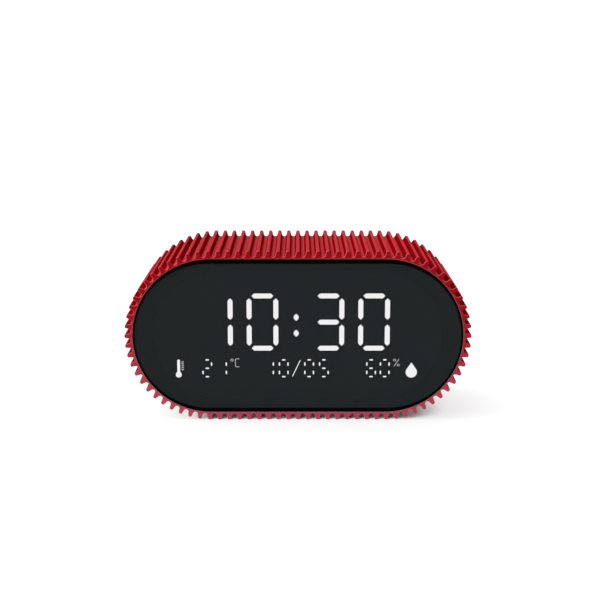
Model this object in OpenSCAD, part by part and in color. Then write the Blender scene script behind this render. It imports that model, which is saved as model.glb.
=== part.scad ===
// Digital alarm clock in a ribbed silicone sleeve, in millimetres.
// It stands on its lowest ribs at Z = 0, its face looks along -Y and X runs to the right of the face.
// Every piece is drawn lying on its back, face up, about the middle of the face. A level is a height
// in that pose, so a higher level is nearer the face. stand_up() then raises the piece.

/* [Body] */
// Width over the rib tips
body_w = 140; // [126:1:180]
// Height over the rib tips
body_h = 69.5; // [63:0.5:90]
// Depth from the front ring to the rear cover
body_d = 60; // [50:1:90]

/* [Sleeve] */
// Number of ribs, a multiple of four
rib_count = 88; // [76:4:100]
// Height of a rib above the valleys
rib_h = 2.55; // [2:0.05:3]
// Width of a rib near its tip
rib_tip_w = 1.5; // [1.2:0.05:1.7]
// Rounding of the edges of a tip
rib_tip_r = 0.5; // [0.3:0.05:0.55]
// Radius of the round valley between two ribs
valley_r = 1; // [0.8:0.05:1.1]
// Rubber left under the valleys
sleeve_wall = 1.3; // [1.1:0.05:2]
// How far the front ring and the rear cover stand out of the sleeve
ring_proud = 0.8; // [0.4:0.1:1.2]

/* [Housing] */
// Wall of the housing tube
housing_wall = 2; // [1.6:0.1:3]
// Flange of the front ring and of the rear cover over the sleeve
flange_w = 0.45; // [0.3:0.05:0.8]
// Thickness of that flange
flange_t = 1.8; // [1.5:0.1:2.4]
// Width of the ring beside the lens, left and right
ring_side = 0.75; // [0.6:0.05:2]
// Width of the ring above and below the lens
ring_top = 1.6; // [0.8:0.05:3]
// Ledge that carries the lens, above and below the display
ledge_w = 2; // [1.5:0.1:4]
// Land at the two ends of the display, for its bosses
end_land = 6; // [5.5:0.1:8]
// Thickness of the ledge
ledge_t = 1.5; // [1:0.1:3]

/* [Display] */
// Thickness of the lens
lens_t = 2; // [1:0.1:4]
// How deep the lens lies in the ring
lens_recess = 0.2; // [0:0.1:0.6]
// Thickness of the adhesive ring under the lens
tape_t = 0.25; // [0.1:0.05:0.5]
// Thickness of the light block behind the lens
face_t = 8; // [5:0.5:12]
// Thickness of both circuit boards
board_t = 1.6; // [0.8:0.1:2]
// Hour shown
shown_hour = 10; // [0:1:23]
// Minute shown
shown_minute = 30; // [0:1:59]
// Month shown
shown_month = 10; // [1:1:12]
// Day shown
shown_day = 5; // [1:1:31]
// Temperature shown, in degrees Celsius
shown_temperature = 21; // [10:1:50]
// Humidity shown, in per cent
shown_humidity = 60; // [20:1:95]

/* [Rear cover] */
// Thickness of the rear cover
cover_t = 3; // [2.6:0.1:4]
// Height of the spigot inside the housing
spigot_h = 3.5; // [2:0.5:6]
// Wall of the spigot
spigot_t = 1.4; // [1:0.1:2]
// Diameter of the screw bosses
boss_d = 6; // [5:0.5:8]
// Diameter of the cover screws
screw_d = 2.5; // [2:0.1:3]
// Length of the cover screws under the head
screw_l = 12; // [8:1:16]

/* [Buttons] */
// Width of a rear button
key_w = 9; // [7:0.5:11]
// Height of a rear button
key_h = 5; // [4:0.5:6]
// Distance between buttons
key_pitch = 14; // [13.5:0.5:16]
// Distance of the button row from the housing's top wall
key_edge = 8.8; // [8:0.1:12]
// Travel of a button
key_travel = 0.6; // [0.3:0.1:1]
// Depth of the recess that the buttons stand in
recess_t = 0.9; // [0.5:0.1:1.2]
// Travel of the alarm switch
slide_travel = 2.5; // [1.5:0.1:3]

/* [Battery] */
// Diameter of a cell
cell_d = 10.5; // [10:0.1:11]
// Length of a cell with its nub
cell_l = 44.5; // [43:0.1:46]
// Length of a contact spring when a cell presses it
spring_l = 3.5; // [3:0.1:6]
// Wall of the battery tray
tray_wall = 1.4; // [1:0.1:2]
// Thickness of the battery door
door_t = 1.8; // [1.6:0.1:2]

/* [Hidden] */
$fn = 64;

// Clearance of a press or glued fit
fit_gap = 0.05;
// Clearance of a loose fit
loose_gap = 0.15;
// Clearance of a piece that moves
run_gap = 0.25;
// Overshoot of a cut
cut = 1;

// Levels of the front
face_level = body_d / 2;
flange_level = face_level - flange_t;
sleeve_top = face_level - ring_proud;
lens_top = face_level - lens_recess;
lens_bottom = lens_top - lens_t;
ledge_top = lens_bottom - tape_t;
ledge_bottom = ledge_top - ledge_t;
display_gap = 0.2;
display_top = lens_bottom - display_gap;
display_bottom = display_top - face_t;
display_back = display_bottom - board_t;

// Levels of the back
back_level = -body_d / 2;
cover_level = back_level + cover_t;
recess_level = back_level + recess_t;
sleeve_bottom = back_level + ring_proud;

// Insets of the concentric outlines from the rib tips
root_inset = rib_h;
sleeve_inset = root_inset + sleeve_wall;
housing_inset = sleeve_inset + fit_gap;
flange_inset = housing_inset - flange_w;
inner_inset = housing_inset + housing_wall;
spigot_inset = inner_inset + loose_gap;
half_run = (body_w - body_h) / 2;
inner_r = body_h / 2 - inner_inset;

// Ribs follow the line at half their height
rib_line_r = body_h / 2 - rib_h / 2;
arc_l = PI * rib_line_r;
rib_line_l = 4 * half_run + 2 * arc_l;
rib_pitch = rib_line_l / rib_count;
flank_rise = rib_h - valley_r - rib_tip_r;
flank_draft = atan2(rib_pitch / 2 - valley_r - rib_tip_w / 2, flank_rise);
tip_steps = 3;
valley_steps = 6;

// Lens, opening and light block
lens_w = body_w - 2 * (flange_inset + ring_side);
lens_h = body_h - 2 * (flange_inset + ring_top);
lens_gap = 0.1;
opening_w = body_w - 2 * (inner_inset + end_land);
opening_h = body_h - 2 * (inner_inset + ledge_w);
face_gap = 0.4;
segment_gap = 0.05;

// Display bosses stand on the end lands
display_boss_d = 4.6;
display_boss_edge = 3.05;
display_boss_angle = 20;
display_screw_d = 1.8;
display_screw_l = 6;
small_head_d = 3.4;
small_head_h = 1.2;

// Opening that the display was drawn for. In another one its groups spread and its signs grow.
art_w = 116.2;
art_h = 53.7;
spread_x = opening_w / art_w;
spread_y = opening_h / art_h;
art = min(spread_x, spread_y);

// Large and small digits: cell of the bar grid, bar length and bar width
time_x = -1;
time_y = 5.45;
time_cell = 10.77;
time_bar = [8.8, 2];
time_pitch = 18.4;
time_split = 26.6;
colon_bar = [2.95, 2];
colon_shift = 0.3;
colon_drop = 1.3;
colon_pitch = 6.55;
row_y = -13.68;
row_cell = 3.5;
row_bar = [1.6, 0.58];
row_pitch = 5.97;
temperature_x = -33.83;
date_x = -0.65;
month_shift = 8.13;
day_shift = 8.18;
humidity_x = 32.47;
humidity_pitch = 5.53;
slash_l = 7.5;
slash_w = 0.33;
slash_lean = 25.2;

// Signs and icons, placed from the digits that they belong to
degree_shift = 7.05;
degree_rise = 3.38;
degree_d = 1.3;
celsius_shift = 9.17;
sign_rise = 2.28;
sign_h = 3.6;
sign_w = 1.75;
sign_r = 0.6;
stroke = 0.3;
// Gap in a ring, for the bridge that holds the middle of its window
bridge_w = 0.35;
percent_shift = 7.48;
percent_w = 1.5;
percent_h = 2.1;
percent_ring_d = 1.15;
percent_lean = 34;
stem_shift = -14.6;
stem_w = 1.15;
stem_rise = 3.65;
bulb_drop = 2.65;
bulb_d = 2.42;
tick_count = 5;
tick_shift = -12.97;
tick_l = 0.85;
tick_w = 0.25;
tick_rise = 2.65;
tick_pitch = 0.81;
drop_shift = 13.58;
drop_fall = 1.62;
drop_d = 4.6;
drop_h = 4.05;
// The point's sides start a little inside the circle
drop_bite = 0.98;

// Battery tray, its door and its cells
cell_count = 2;
cell_gap = 0.4;
contact_t = 0.4;
contact_gap = 0.1;
door_gap = 0.2;
door_seat = 0.1;
door_land = 2;
door_corner_r = 2;
cell_rest = 0.5;
tray_w = cell_count * cell_d + (cell_count + 1) * cell_gap;
tray_l = cell_l + spring_l + 2 * (contact_t + contact_gap);
door_w = tray_l + 2 * door_land;
door_h = tray_w + 2 * door_land;
tray_edge = 7;
tray_y = -inner_r + tray_edge + door_h / 2;
door_level = back_level + door_t;
cell_level = door_level + cell_rest + cell_d / 2;
tray_floor = cell_level + cell_d / 2 + loose_gap;
tray_top = tray_floor + tray_wall;
hinge_y = tray_y - door_h / 2 + door_gap + door_t / 2;
hinge_level = back_level + door_t / 2;
hinge_pin_d = 1.1;
hinge_pin_l = 1.4;
scoop_d = 12;
scoop_t = 1.2;
grip_count = 3;
grip_l = 12;
grip_w = 0.9;
grip_t = 0.4;
grip_pitch = 2;
grip_edge = 4;
nub_d = 3.8;
nub_l = 1;
cell_edge = 0.6;
contact_w = 8;
tail_w = 1.6;
tail_l = 1.5;
wire_r = 0.3;
spring_turns = 3.5;
spring_r = [3.2, 1.7];
spring_steps = 16;
spring_sides = 6;

// Button row: cap, flange, switch and the board behind it
keys = 5;
key_y = inner_r - key_edge;
key_sunk = 0.1;
key_flange_w = 0.9;
key_flange_t = 0.8;
key_rest = 0.1;
plunger_d = 3.2;
plunger_reach = 1.2;
plunger_free = 0.45;
switch_w = 6;
switch_h = 2.6;
flange_floor = cover_level + key_rest + key_flange_t;
switch_level = flange_floor + fit_gap + key_travel + plunger_free;
board_level = switch_level + switch_h;
board_front = board_level + board_t;
recess_edge = 2;

// Main board: a strip behind the buttons and a leg beside the battery tray
strip_half = 5;
strip_end = 11;
strip_left = -(keys - 1) / 2 * key_pitch - strip_end;
leg_gap = 2;
leg_w = 15;
leg_left = tray_l / 2 + tray_wall + leg_gap;
leg_right = leg_left + leg_w;
leg_x = leg_left + leg_w / 2;
slide_y = 8;
usb_y = -3;
sensor_y = -13;
sensor_edge = 5.5;
sensor_x = leg_left + sensor_edge;
leg_end = sensor_y - sensor_edge;
board_clear = 0.4;
standoff_d = 4.6;
standoff_edge = 3.2;
board_screw_d = 1.6;
board_screw_l = 5;
standoffs = [
  [strip_left + standoff_edge, key_y],
  [leg_right - standoff_edge, key_y],
  [leg_right - standoff_edge, sensor_y]
];

// Alarm switch
knob_w = 2.4;
knob_h = 2.6;
knob_base = [3.6, 3, 1.2];
knob_groove_w = 0.3;
knob_groove_t = 0.3;
knob_groove_pitch = 0.7;
slide_case = [9.4, 4.4, 3];
slide_wall = 0.4;

// Power inlet
usb_w = 8.9;
usb_h = 3.2;
usb_wall = 0.3;
usb_depth = 5.6;
usb_sunk = 0.5;
tongue_w = 6.6;
tongue_t = 0.7;
tongue_short = 1;

// Air slots over the climate sensor
slot_count = 4;
slot_l = 6;
slot_w = 1.2;
slot_pitch = 2.4;
chip_sensor = [3, 3, 1.1];
chip_clock = [7, 7, 1];
chip_rise = 10;
crystal_d = 2;
crystal_l = 6;
crystal_y = -8;

// Speaker behind its grille
speaker_d = 20;
speaker_rim = 1.6;
collar_t = 1.2;
collar_h = 2.5;
speaker_gap = 2;
speaker_x = -tray_l / 2 - tray_wall - speaker_gap - collar_t - loose_gap - speaker_d / 2;
gasket_t = 0.8;
gasket_level = cover_level + gasket_t;
rim_t = 0.8;
basket_h = 3.2;
basket_t = 0.6;
magnet_d = 13;
magnet_t = 2.4;
cone_t = 0.3;
cone_sag = 1.2;
coil_r = 2.5;
grille_rings = 3;
grille_pitch = 2.4;
grille_d = 1.4;
lead_r = 0.4;
lead_edge = 1.5;
speaker_lead_x = [2, 4.5];
battery_lead_x = [-3, -5.5];
lead_steps = 12;
lead_sides = 8;

// Cover screws and their bosses, near the ends of the housing
boss_edge = 2.4;
boss_angle = 35;
boss_l = 13;
post_h = 3.6;
head_d = 4.6;
head_h = 1.4;
head_sunk = 0.3;
// Cross recess of every screw, as shares of its head
drive_l = 0.6;
drive_w = 0.16;

// Flat cable between the two boards
cable_w = 12;
cable_t = 0.3;
cable_steps = 12;
cable_bite = 1;
socket = [15, 3.6, 2.4];
display_socket_y = 12;

// Colours
red_rubber = [0.66, 0.04, 0.06];
black_plastic = [0.05, 0.05, 0.055];
smoke = [0.15, 0.16, 0.165, 0.6];
light_white = [0.95, 0.95, 0.96];
unlit_grey = [0.1, 0.1, 0.11];
board_green = [0.05, 0.25, 0.14];
steel = [0.75, 0.76, 0.78];
cell_green = [0.16, 0.42, 0.3];

// Raises a piece from its back onto its lowest ribs
module stand_up() {
  translate([0, 0, body_h / 2]) rotate([90, 0, 0]) children();
}

// Extrudes an outline from one level to a higher one
module layer(low, high) {
  translate([0, 0, low]) linear_extrude(high - low) children();
}

// Round bar standing at a point between two levels
module post(spot, d, low, high) {
  translate([spot[0], spot[1], low]) cylinder(d = d, h = high - low);
}

// Box centred on a point in plan, rising from a level
module chip(spot, size, low) {
  translate([spot[0], spot[1], low + size[2] / 2]) cube(size, center = true);
}

// Outline with two straight sides and two round ends, lying along X
module stadium_of(w, h) {
  square([w - h, h], center = true);
  for (side = [-1, 1]) translate([side * (w - h) / 2, 0]) circle(d = h);
}

// Rectangle with round corners
module round_box(w, h, r) {
  square([w - 2 * r, h], center = true);
  square([w, h - 2 * r], center = true);
  for (x = [-1, 1], y = [-1, 1]) translate([x * (w / 2 - r), y * (h / 2 - r)]) circle(r = r);
}

// The body's own outline, inset from the rib tips
module stadium(inset) {
  stadium_of(body_w - 2 * inset, body_h - 2 * inset);
}

// Points on the arcs at both ends of the body, at an angle above and below the middle
function end_spots(r, angle) = [
  for (x = [-1, 1], y = [-1, 1]) [x * (half_run + r * cos(angle)), y * r * sin(angle)]
];
cover_spots = end_spots(inner_r - boss_edge, boss_angle);
display_spots = end_spots(inner_r - display_boss_edge, display_boss_angle);

// Place on the rib line at a distance clockwise from the top: point and outward angle
function rib_place(s) =
  let (u = s % rib_line_l)
  u < half_run ? [[u, rib_line_r], 90] :
  u < half_run + arc_l ? rib_arc(half_run, 90 - 180 * (u - half_run) / arc_l) :
  u < 3 * half_run + arc_l ? [[2 * half_run + arc_l - u, -rib_line_r], -90] :
  u < 3 * half_run + 2 * arc_l ? rib_arc(-half_run, -90 - 180 * (u - 3 * half_run - arc_l) / arc_l) :
  [[u - rib_line_l, rib_line_r], 90];
function rib_arc(x, angle) = [[x + rib_line_r * cos(angle), rib_line_r * sin(angle)], angle];

// Arc about a point given across and out of the rib line, as points in plan
function rib_curve(place, centre, r, from, to, steps) = [
  for (i = [0:steps])
    let (turn = from + (to - from) * i / steps)
    let (across = centre[0] + r * cos(turn))
    let (out = centre[1] + r * sin(turn))
    let (angle = place[1])
    place[0] + across * [sin(angle), -cos(angle)] + out * [cos(angle), sin(angle)]
];

// One rib and the valley after it
tip_centre = [rib_tip_w / 2 - rib_tip_r, rib_h / 2 - rib_tip_r];
valley_centre = [0, valley_r - rib_h / 2];
function rib_points(i) = concat(
  rib_curve(rib_place(i * rib_pitch), [-tip_centre[0], tip_centre[1]],
    rib_tip_r, 180 - flank_draft, 90, tip_steps),
  rib_curve(rib_place(i * rib_pitch), tip_centre, rib_tip_r, 90, flank_draft, tip_steps),
  rib_curve(rib_place((i + 0.5) * rib_pitch), valley_centre,
    valley_r, 180 + flank_draft, 360 - flank_draft, valley_steps)
);

module ribbed_sleeve() {
  color(red_rubber) stand_up() difference() {
    layer(sleeve_bottom, sleeve_top) difference() {
      polygon([for (i = [0:rib_count - 1]) each rib_points(i)]);
      stadium(sleeve_inset);
    }
    layer(flange_level, face_level) stadium(flange_inset - fit_gap);
    layer(back_level, back_level + flange_t) stadium(flange_inset - fit_gap);
  }
}

module front_housing() {
  color(black_plastic) stand_up() difference() {
    union() {
      difference() {
        union() {
          layer(cover_level, face_level) stadium(housing_inset);
          layer(flange_level, face_level) stadium(flange_inset);
        }
        layer(cover_level - cut, ledge_bottom) stadium(inner_inset);
      }
      for (spot = display_spots) post(spot, display_boss_d, display_bottom, ledge_top);
      for (spot = cover_spots) post(spot, boss_d, cover_level + post_h, cover_level + post_h + boss_l);
    }
    layer(ledge_top, face_level + cut) stadium_of(lens_w + 2 * lens_gap, lens_h + 2 * lens_gap);
    layer(ledge_bottom - cut, face_level) stadium_of(opening_w, opening_h);
    for (spot = display_spots)
      post(spot, display_screw_d + 2 * fit_gap, display_bottom - cut, display_bottom + display_screw_l);
    for (spot = cover_spots)
      post(spot, screw_d + 2 * fit_gap, cover_level, back_level + head_sunk + head_h + screw_l + cut);
  }
}

module display_lens() {
  color(smoke) stand_up() layer(lens_bottom, lens_top) stadium_of(lens_w, lens_h);
}

module lens_tape() {
  color(black_plastic) stand_up() layer(ledge_top, lens_bottom) difference() {
    stadium_of(lens_w, lens_h);
    stadium_of(opening_w, opening_h);
  }
}

// Bars of a seven-bar digit that are lit, by letter, for 0 to 9
lit_bars = ["abcdef", "bc", "abdeg", "abcdg", "bcfg", "acdfg", "acdefg", "abc", "abcdefg", "abcdfg"];
// Place of each bar on the digit's grid: across, up and turn
bar_places = [
  ["a", 0, 1, 0], ["b", 0.5, 0.5, 90], ["c", 0.5, -0.5, 90], ["d", 0, -1, 0],
  ["e", -0.5, -0.5, 90], ["f", -0.5, 0.5, 90], ["g", 0, 0, 0]
];
function bar_lit(value, letter) = len(search(letter, lit_bars[value])) > 0;
function tens(value) = floor(value / 10);
function ones(value) = value % 10;

// Bar with pointed ends, grown all round where it is a window
module bar(size, grow = 0) {
  tip = size[0] / 2 + grow * sqrt(2);
  half = size[1] / 2 + grow;
  polygon([
    [-tip, 0], [half - tip, half], [tip - half, half], [tip, 0], [tip - half, -half], [half - tip, -half]
  ]);
}

// Lit or unlit bars of one digit
module digit(value, spot, cell, size, lit, grow) {
  for (place = bar_places)
    if (bar_lit(value, place[0]) == lit)
      translate(spot + cell * [place[1], place[2]]) rotate(place[3]) bar(size, grow);
}

// Place of a group on the display, and a place beside it in the group's own scale
function anchor(x, y, across = 0, up = 0) = [spread_x * x + art * across, spread_y * y + art * up];

// Two digits side by side about a point
module pair(value, spot, pitch, cell, size, lit, grow) {
  half = [art * pitch / 2, 0];
  digit(tens(value), spot - half, art * cell, art * size, lit, grow);
  digit(ones(value), spot + half, art * cell, art * size, lit, grow);
}

module time_bars(lit, grow = 0) {
  shift = (time_split + time_pitch) / 2;
  pair(shown_hour, anchor(time_x, time_y, -shift), time_pitch, time_cell, time_bar, lit, grow);
  pair(shown_minute, anchor(time_x, time_y, shift), time_pitch, time_cell, time_bar, lit, grow);
}

// Two digits of the small row
module row_pair(value, x, shift, pitch, lit, grow) {
  pair(value, anchor(x, row_y, shift), pitch, row_cell, row_bar, lit, grow);
}

module temperature_bars(lit, grow = 0) {
  row_pair(shown_temperature, temperature_x, 0, row_pitch, lit, grow);
}

module date_bars(lit, grow = 0) {
  row_pair(shown_month, date_x, -month_shift, row_pitch, lit, grow);
  row_pair(shown_day, date_x, day_shift, row_pitch, lit, grow);
}

module humidity_bars(lit, grow = 0) {
  row_pair(shown_humidity, humidity_x, 0, humidity_pitch, lit, grow);
}

module colon_dots(grow = 0) {
  for (side = [-1, 1])
    translate(anchor(time_x, time_y, colon_shift, side * colon_pitch / 2 - colon_drop))
      rotate(90) bar(art * colon_bar, grow);
}

// Straight stroke of a sign, grown all round where it is a window
module dash(w, h, grow) {
  square([art * w + 2 * grow, art * h + 2 * grow], center = true);
}

module dot(d, grow) {
  circle(d = art * d + 2 * grow);
}

module date_slash(grow = 0) {
  translate(anchor(date_x, row_y)) rotate(-slash_lean) dash(slash_w, slash_l, grow);
}

// Ring that is open at its foot
module hoop(d, grow) {
  difference() {
    dot(d, grow);
    dot(d - 2 * stroke, -grow);
    translate([0, -art * d / 2]) dash(bridge_w, d, -grow);
  }
}

// Squared C: the left half of a ring with round corners
module celsius_sign(grow) {
  inner_w = sign_w - stroke;
  inner_h = sign_h - 2 * stroke;
  intersection() {
    dash(sign_w, sign_h, grow);
    translate([art * sign_w / 2, 0]) difference() {
      round_box(art * 2 * sign_w + 2 * grow, art * sign_h + 2 * grow, art * sign_r + grow);
      round_box(art * 2 * inner_w - 2 * grow, art * inner_h - 2 * grow, art * (sign_r - stroke) - grow);
    }
  }
}

module sign_outlines(grow = 0) {
  translate(anchor(temperature_x, row_y, degree_shift, degree_rise)) hoop(degree_d, grow);
  translate(anchor(temperature_x, row_y, celsius_shift, sign_rise)) celsius_sign(grow);
  translate(anchor(humidity_x, row_y, percent_shift, sign_rise)) {
    rotate(-percent_lean) dash(stroke, sign_h, grow);
    for (side = [-1, 1])
      translate(art * side * [percent_w / 2, -percent_h / 2]) hoop(percent_ring_d, grow);
  }
}

module thermometer_outline(grow = 0) {
  translate(anchor(temperature_x, row_y, stem_shift, -bulb_drop)) dot(bulb_d, grow);
  translate(anchor(temperature_x, row_y, stem_shift, (stem_rise - bulb_drop) / 2)) rotate(90)
    stadium_of(art * (stem_rise + bulb_drop) + 2 * grow, art * stem_w + 2 * grow);
  for (i = [0:tick_count - 1])
    translate(anchor(temperature_x, row_y, tick_shift, tick_rise - i * tick_pitch))
      dash(tick_l, tick_w, grow);
}

// Circle with the point where its two tangents meet above it
module drop_outline(grow = 0) {
  r = art * drop_d / 2 + grow;
  rise = drop_h * r / (drop_d / 2);
  lean = asin(r / rise);
  translate(anchor(humidity_x, row_y, drop_shift, -drop_fall)) {
    circle(r = r);
    polygon([
      [0, rise], drop_bite * r * [-cos(lean), sin(lean)], [0, 0], drop_bite * r * [cos(lean), sin(lean)]
    ]);
  }
}

// Every window of the light block
module windows() {
  for (lit = [true, false]) {
    time_bars(lit, segment_gap);
    temperature_bars(lit, segment_gap);
    date_bars(lit, segment_gap);
    humidity_bars(lit, segment_gap);
  }
  colon_dots(segment_gap);
  date_slash(segment_gap);
  sign_outlines(segment_gap);
  thermometer_outline(segment_gap);
  drop_outline(segment_gap);
}

module display_face() {
  color(black_plastic) stand_up() layer(display_bottom, display_top) difference() {
    stadium_of(opening_w - 2 * face_gap, opening_h - 2 * face_gap);
    windows();
  }
}

// A light pipe fills its window from the board to the front
module light_pipe() {
  color(light_white) stand_up() layer(display_bottom, display_top) children();
}

module time_digits() {
  light_pipe() time_bars(true);
}

module time_colon() {
  light_pipe() colon_dots();
}

module temperature_digits() {
  light_pipe() temperature_bars(true);
}

module date_digits() {
  light_pipe() {
    date_bars(true);
    date_slash();
  }
}

module humidity_digits() {
  light_pipe() humidity_bars(true);
}

module unit_signs() {
  light_pipe() sign_outlines();
}

module thermometer_icon() {
  light_pipe() thermometer_outline();
}

module drop_icon() {
  light_pipe() drop_outline();
}

module unlit_segments() {
  color(unlit_grey) stand_up() layer(display_bottom, display_top) {
    time_bars(false);
    temperature_bars(false);
    date_bars(false);
    humidity_bars(false);
  }
}

module display_board() {
  color(board_green) stand_up() layer(display_back, display_bottom) difference() {
    stadium(inner_inset + board_clear);
    for (spot = display_spots) translate(spot) circle(d = display_screw_d + 2 * loose_gap);
  }
}

// Screw with its head below the origin and its shank upwards
module screw(head_d, head_h, shank_d, shank_l) {
  difference() {
    translate([0, 0, -head_h]) cylinder(d = head_d, h = head_h);
    for (turn = [0, 90])
      rotate(turn) translate([0, 0, -head_h])
        cube([drive_l * head_d, drive_w * head_d, head_h], center = true);
  }
  cylinder(d = shank_d, h = shank_l);
}

module display_screws() {
  color(steel) stand_up()
    for (spot = display_spots)
      translate([spot[0], spot[1], display_back])
        screw(small_head_d, small_head_h, display_screw_d, display_screw_l);
}

// Slack of the flat cable, as a smooth step from the main board's socket to the display's
cable_low = board_front + socket[2] - cable_bite;
cable_high = display_back - socket[2] + cable_bite;
function cable_y(share) = key_y + (display_socket_y - key_y) * (1 - cos(180 * share)) / 2;
function cable_side(shift) = [
  for (i = [0:cable_steps])
    let (share = i / cable_steps)
    [cable_y(share) + shift, cable_low + (cable_high - cable_low) * share]
];
function reversed(list) = [for (i = [len(list) - 1:-1:0]) list[i]];

module display_cable() {
  color(light_white) stand_up()
    translate([-cable_w / 2, 0, 0]) rotate([90, 0, 90]) linear_extrude(cable_w)
      polygon(concat(cable_side(-cable_t / 2), reversed(cable_side(cable_t / 2))));
}

// Connector with a slit for the cable
module cable_socket(y, low, mouth) {
  difference() {
    chip([0, y], socket, low);
    translate([0, y, mouth])
      cube([cable_w + 2 * loose_gap, cable_t + 2 * loose_gap, 2 * (cable_bite + loose_gap)], center = true);
  }
}

module cable_sockets() {
  color(black_plastic) stand_up() {
    cable_socket(key_y, board_front, board_front + socket[2]);
    cable_socket(display_socket_y, display_back - socket[2], display_back - socket[2]);
  }
}

// Outline of the battery door, and of the recess for it where it is grown
module door_outline(grow = 0) {
  top = tray_y + door_h / 2 - door_gap;
  w = door_w - 2 * door_gap;
  translate([0, (top + grow + hinge_y) / 2])
    square([w - 2 * door_corner_r, top + grow - hinge_y], center = true);
  translate([0, (top - door_corner_r + hinge_y) / 2])
    square([w + 2 * grow, top - door_corner_r - hinge_y], center = true);
  for (side = [-1, 1])
    translate([side * (w / 2 - door_corner_r), top - door_corner_r]) circle(r = door_corner_r + grow);
}

// Pattern of small round holes in rings
module grille(d) {
  circle(d = d);
  for (ring = [1:grille_rings], i = [0:6 * ring - 1])
    rotate(60 * i / ring) translate([ring * grille_pitch, 0]) circle(d = d);
}

// A rear button's place along the row
function key_x(i) = (i - (keys - 1) / 2) * key_pitch;

// Plate of the rear cover with its spigot, posts, standoffs, tray walls and speaker collar
module cover_body() {
  layer(back_level, cover_level) stadium(housing_inset);
  layer(back_level, back_level + flange_t) stadium(flange_inset);
  layer(cover_level, cover_level + spigot_h) difference() {
    stadium(spigot_inset);
    stadium(spigot_inset + spigot_t);
  }
  intersection() {
    for (spot = cover_spots) post(spot, boss_d, cover_level, cover_level + post_h);
    layer(cover_level, cover_level + post_h) stadium(spigot_inset);
  }
  for (spot = standoffs) post(spot, standoff_d, cover_level, board_level);
  layer(cover_level, tray_top) translate([0, tray_y])
    square([tray_l + 2 * tray_wall, tray_w + 2 * tray_wall], center = true);
  translate([speaker_x, 0]) layer(cover_level, cover_level + collar_h)
    circle(d = speaker_d + 2 * (loose_gap + collar_t));
}

// What is cut from the rear cover
module cover_cuts() {
  layer(back_level - cut, tray_floor) translate([0, tray_y]) square([tray_l, tray_w], center = true);
  layer(back_level - cut, door_level + door_seat) union() {
    door_outline(door_gap);
    translate([0, hinge_y]) square([door_w, door_t + 2 * door_gap], center = true);
  }
  translate([0, hinge_y, hinge_level]) rotate([0, 90, 0])
    cylinder(d = hinge_pin_d + 2 * loose_gap, h = door_w + 2 * (hinge_pin_l + run_gap), center = true);
  post([0, tray_y + door_h / 2], scoop_d, back_level - cut, back_level + scoop_t);
  for (spot = contact_tails)
    layer(tray_floor - cut, tray_top + cut) translate([spot[0], spot[1]])
      square([contact_t + 2 * loose_gap, tail_w + 2 * loose_gap], center = true);
  for (spot = cover_spots) {
    post(spot, screw_d + 2 * loose_gap, back_level - cut, cover_level + post_h + cut);
    post(spot, head_d + 2 * loose_gap, back_level - cut, back_level + head_sunk + head_h);
  }
  for (spot = standoffs) post(spot, board_screw_d + 2 * fit_gap, cover_level, board_level + cut);
  layer(back_level - cut, recess_level) translate([0, key_y])
    stadium_of((keys - 1) * key_pitch + key_w + 2 * recess_edge, key_h + 2 * recess_edge);
  for (i = [0:keys - 1])
    layer(back_level - cut, cover_level + cut) translate([key_x(i), key_y])
      stadium_of(key_w + 2 * run_gap, key_h + 2 * run_gap);
  slide_w = knob_w + slide_travel + 2 * run_gap;
  layer(back_level - cut, cover_level + cut) translate([leg_x, slide_y])
    square([slide_w, knob_h + 2 * run_gap], center = true);
  layer(back_level - cut, recess_level) translate([leg_x, slide_y])
    stadium_of(slide_w + knob_h + 2 * recess_edge, knob_h + 2 * recess_edge);
  layer(back_level - cut, cover_level + cut) translate([leg_x, usb_y])
    stadium_of(usb_w + 2 * loose_gap, usb_h + 2 * loose_gap);
  for (i = [0:slot_count - 1])
    layer(back_level - cut, cover_level + cut)
      translate([sensor_x, sensor_y + (i - (slot_count - 1) / 2) * slot_pitch]) stadium_of(slot_l, slot_w);
  translate([speaker_x, 0]) {
    layer(back_level - cut, cover_level + cut) grille(grille_d);
    layer(cover_level, cover_level + collar_h + cut) circle(d = speaker_d + 2 * loose_gap);
  }
}

module rear_cover() {
  color(black_plastic) stand_up() difference() {
    cover_body();
    cover_cuts();
  }
}

module cover_screws() {
  color(steel) stand_up()
    for (spot = cover_spots)
      translate([spot[0], spot[1], back_level + head_sunk + head_h])
        screw(head_d, head_h, screw_d, screw_l);
}

module main_board() {
  color(board_green) stand_up() layer(board_level, board_front) difference() {
    intersection() {
      union() {
        translate([strip_left, key_y - strip_half]) square([leg_right - strip_left, 2 * strip_half]);
        translate([leg_left, leg_end]) square([leg_w, key_y - leg_end]);
      }
      stadium(spigot_inset + spigot_t + board_clear);
    }
    for (spot = standoffs) translate(spot) circle(d = board_screw_d + 2 * loose_gap);
  }
}

module board_screws() {
  color(steel) stand_up()
    for (spot = standoffs)
      translate([spot[0], spot[1], board_front]) mirror([0, 0, 1])
        screw(small_head_d, small_head_h, board_screw_d, board_screw_l);
}

module clock_chip() {
  color(black_plastic) stand_up() chip([leg_x, usb_y + chip_rise], chip_clock, board_front);
}

module timing_crystal() {
  color(steel) stand_up() translate([leg_x, crystal_y, board_front + crystal_d / 2 + fit_gap])
    rotate([90, 0, 0]) cylinder(d = crystal_d, h = crystal_l, center = true);
}

module climate_sensor() {
  color(black_plastic) stand_up()
    chip([sensor_x, sensor_y], chip_sensor, board_level - chip_sensor[2]);
}

module tact_switches() {
  color(black_plastic) stand_up()
    for (i = [0:keys - 1]) difference() {
      chip([key_x(i), key_y], [switch_w, switch_w, switch_h], switch_level);
      post([key_x(i), key_y], plunger_d + 2 * loose_gap, switch_level - cut,
        switch_level + plunger_reach + key_travel);
    }
}

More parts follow.
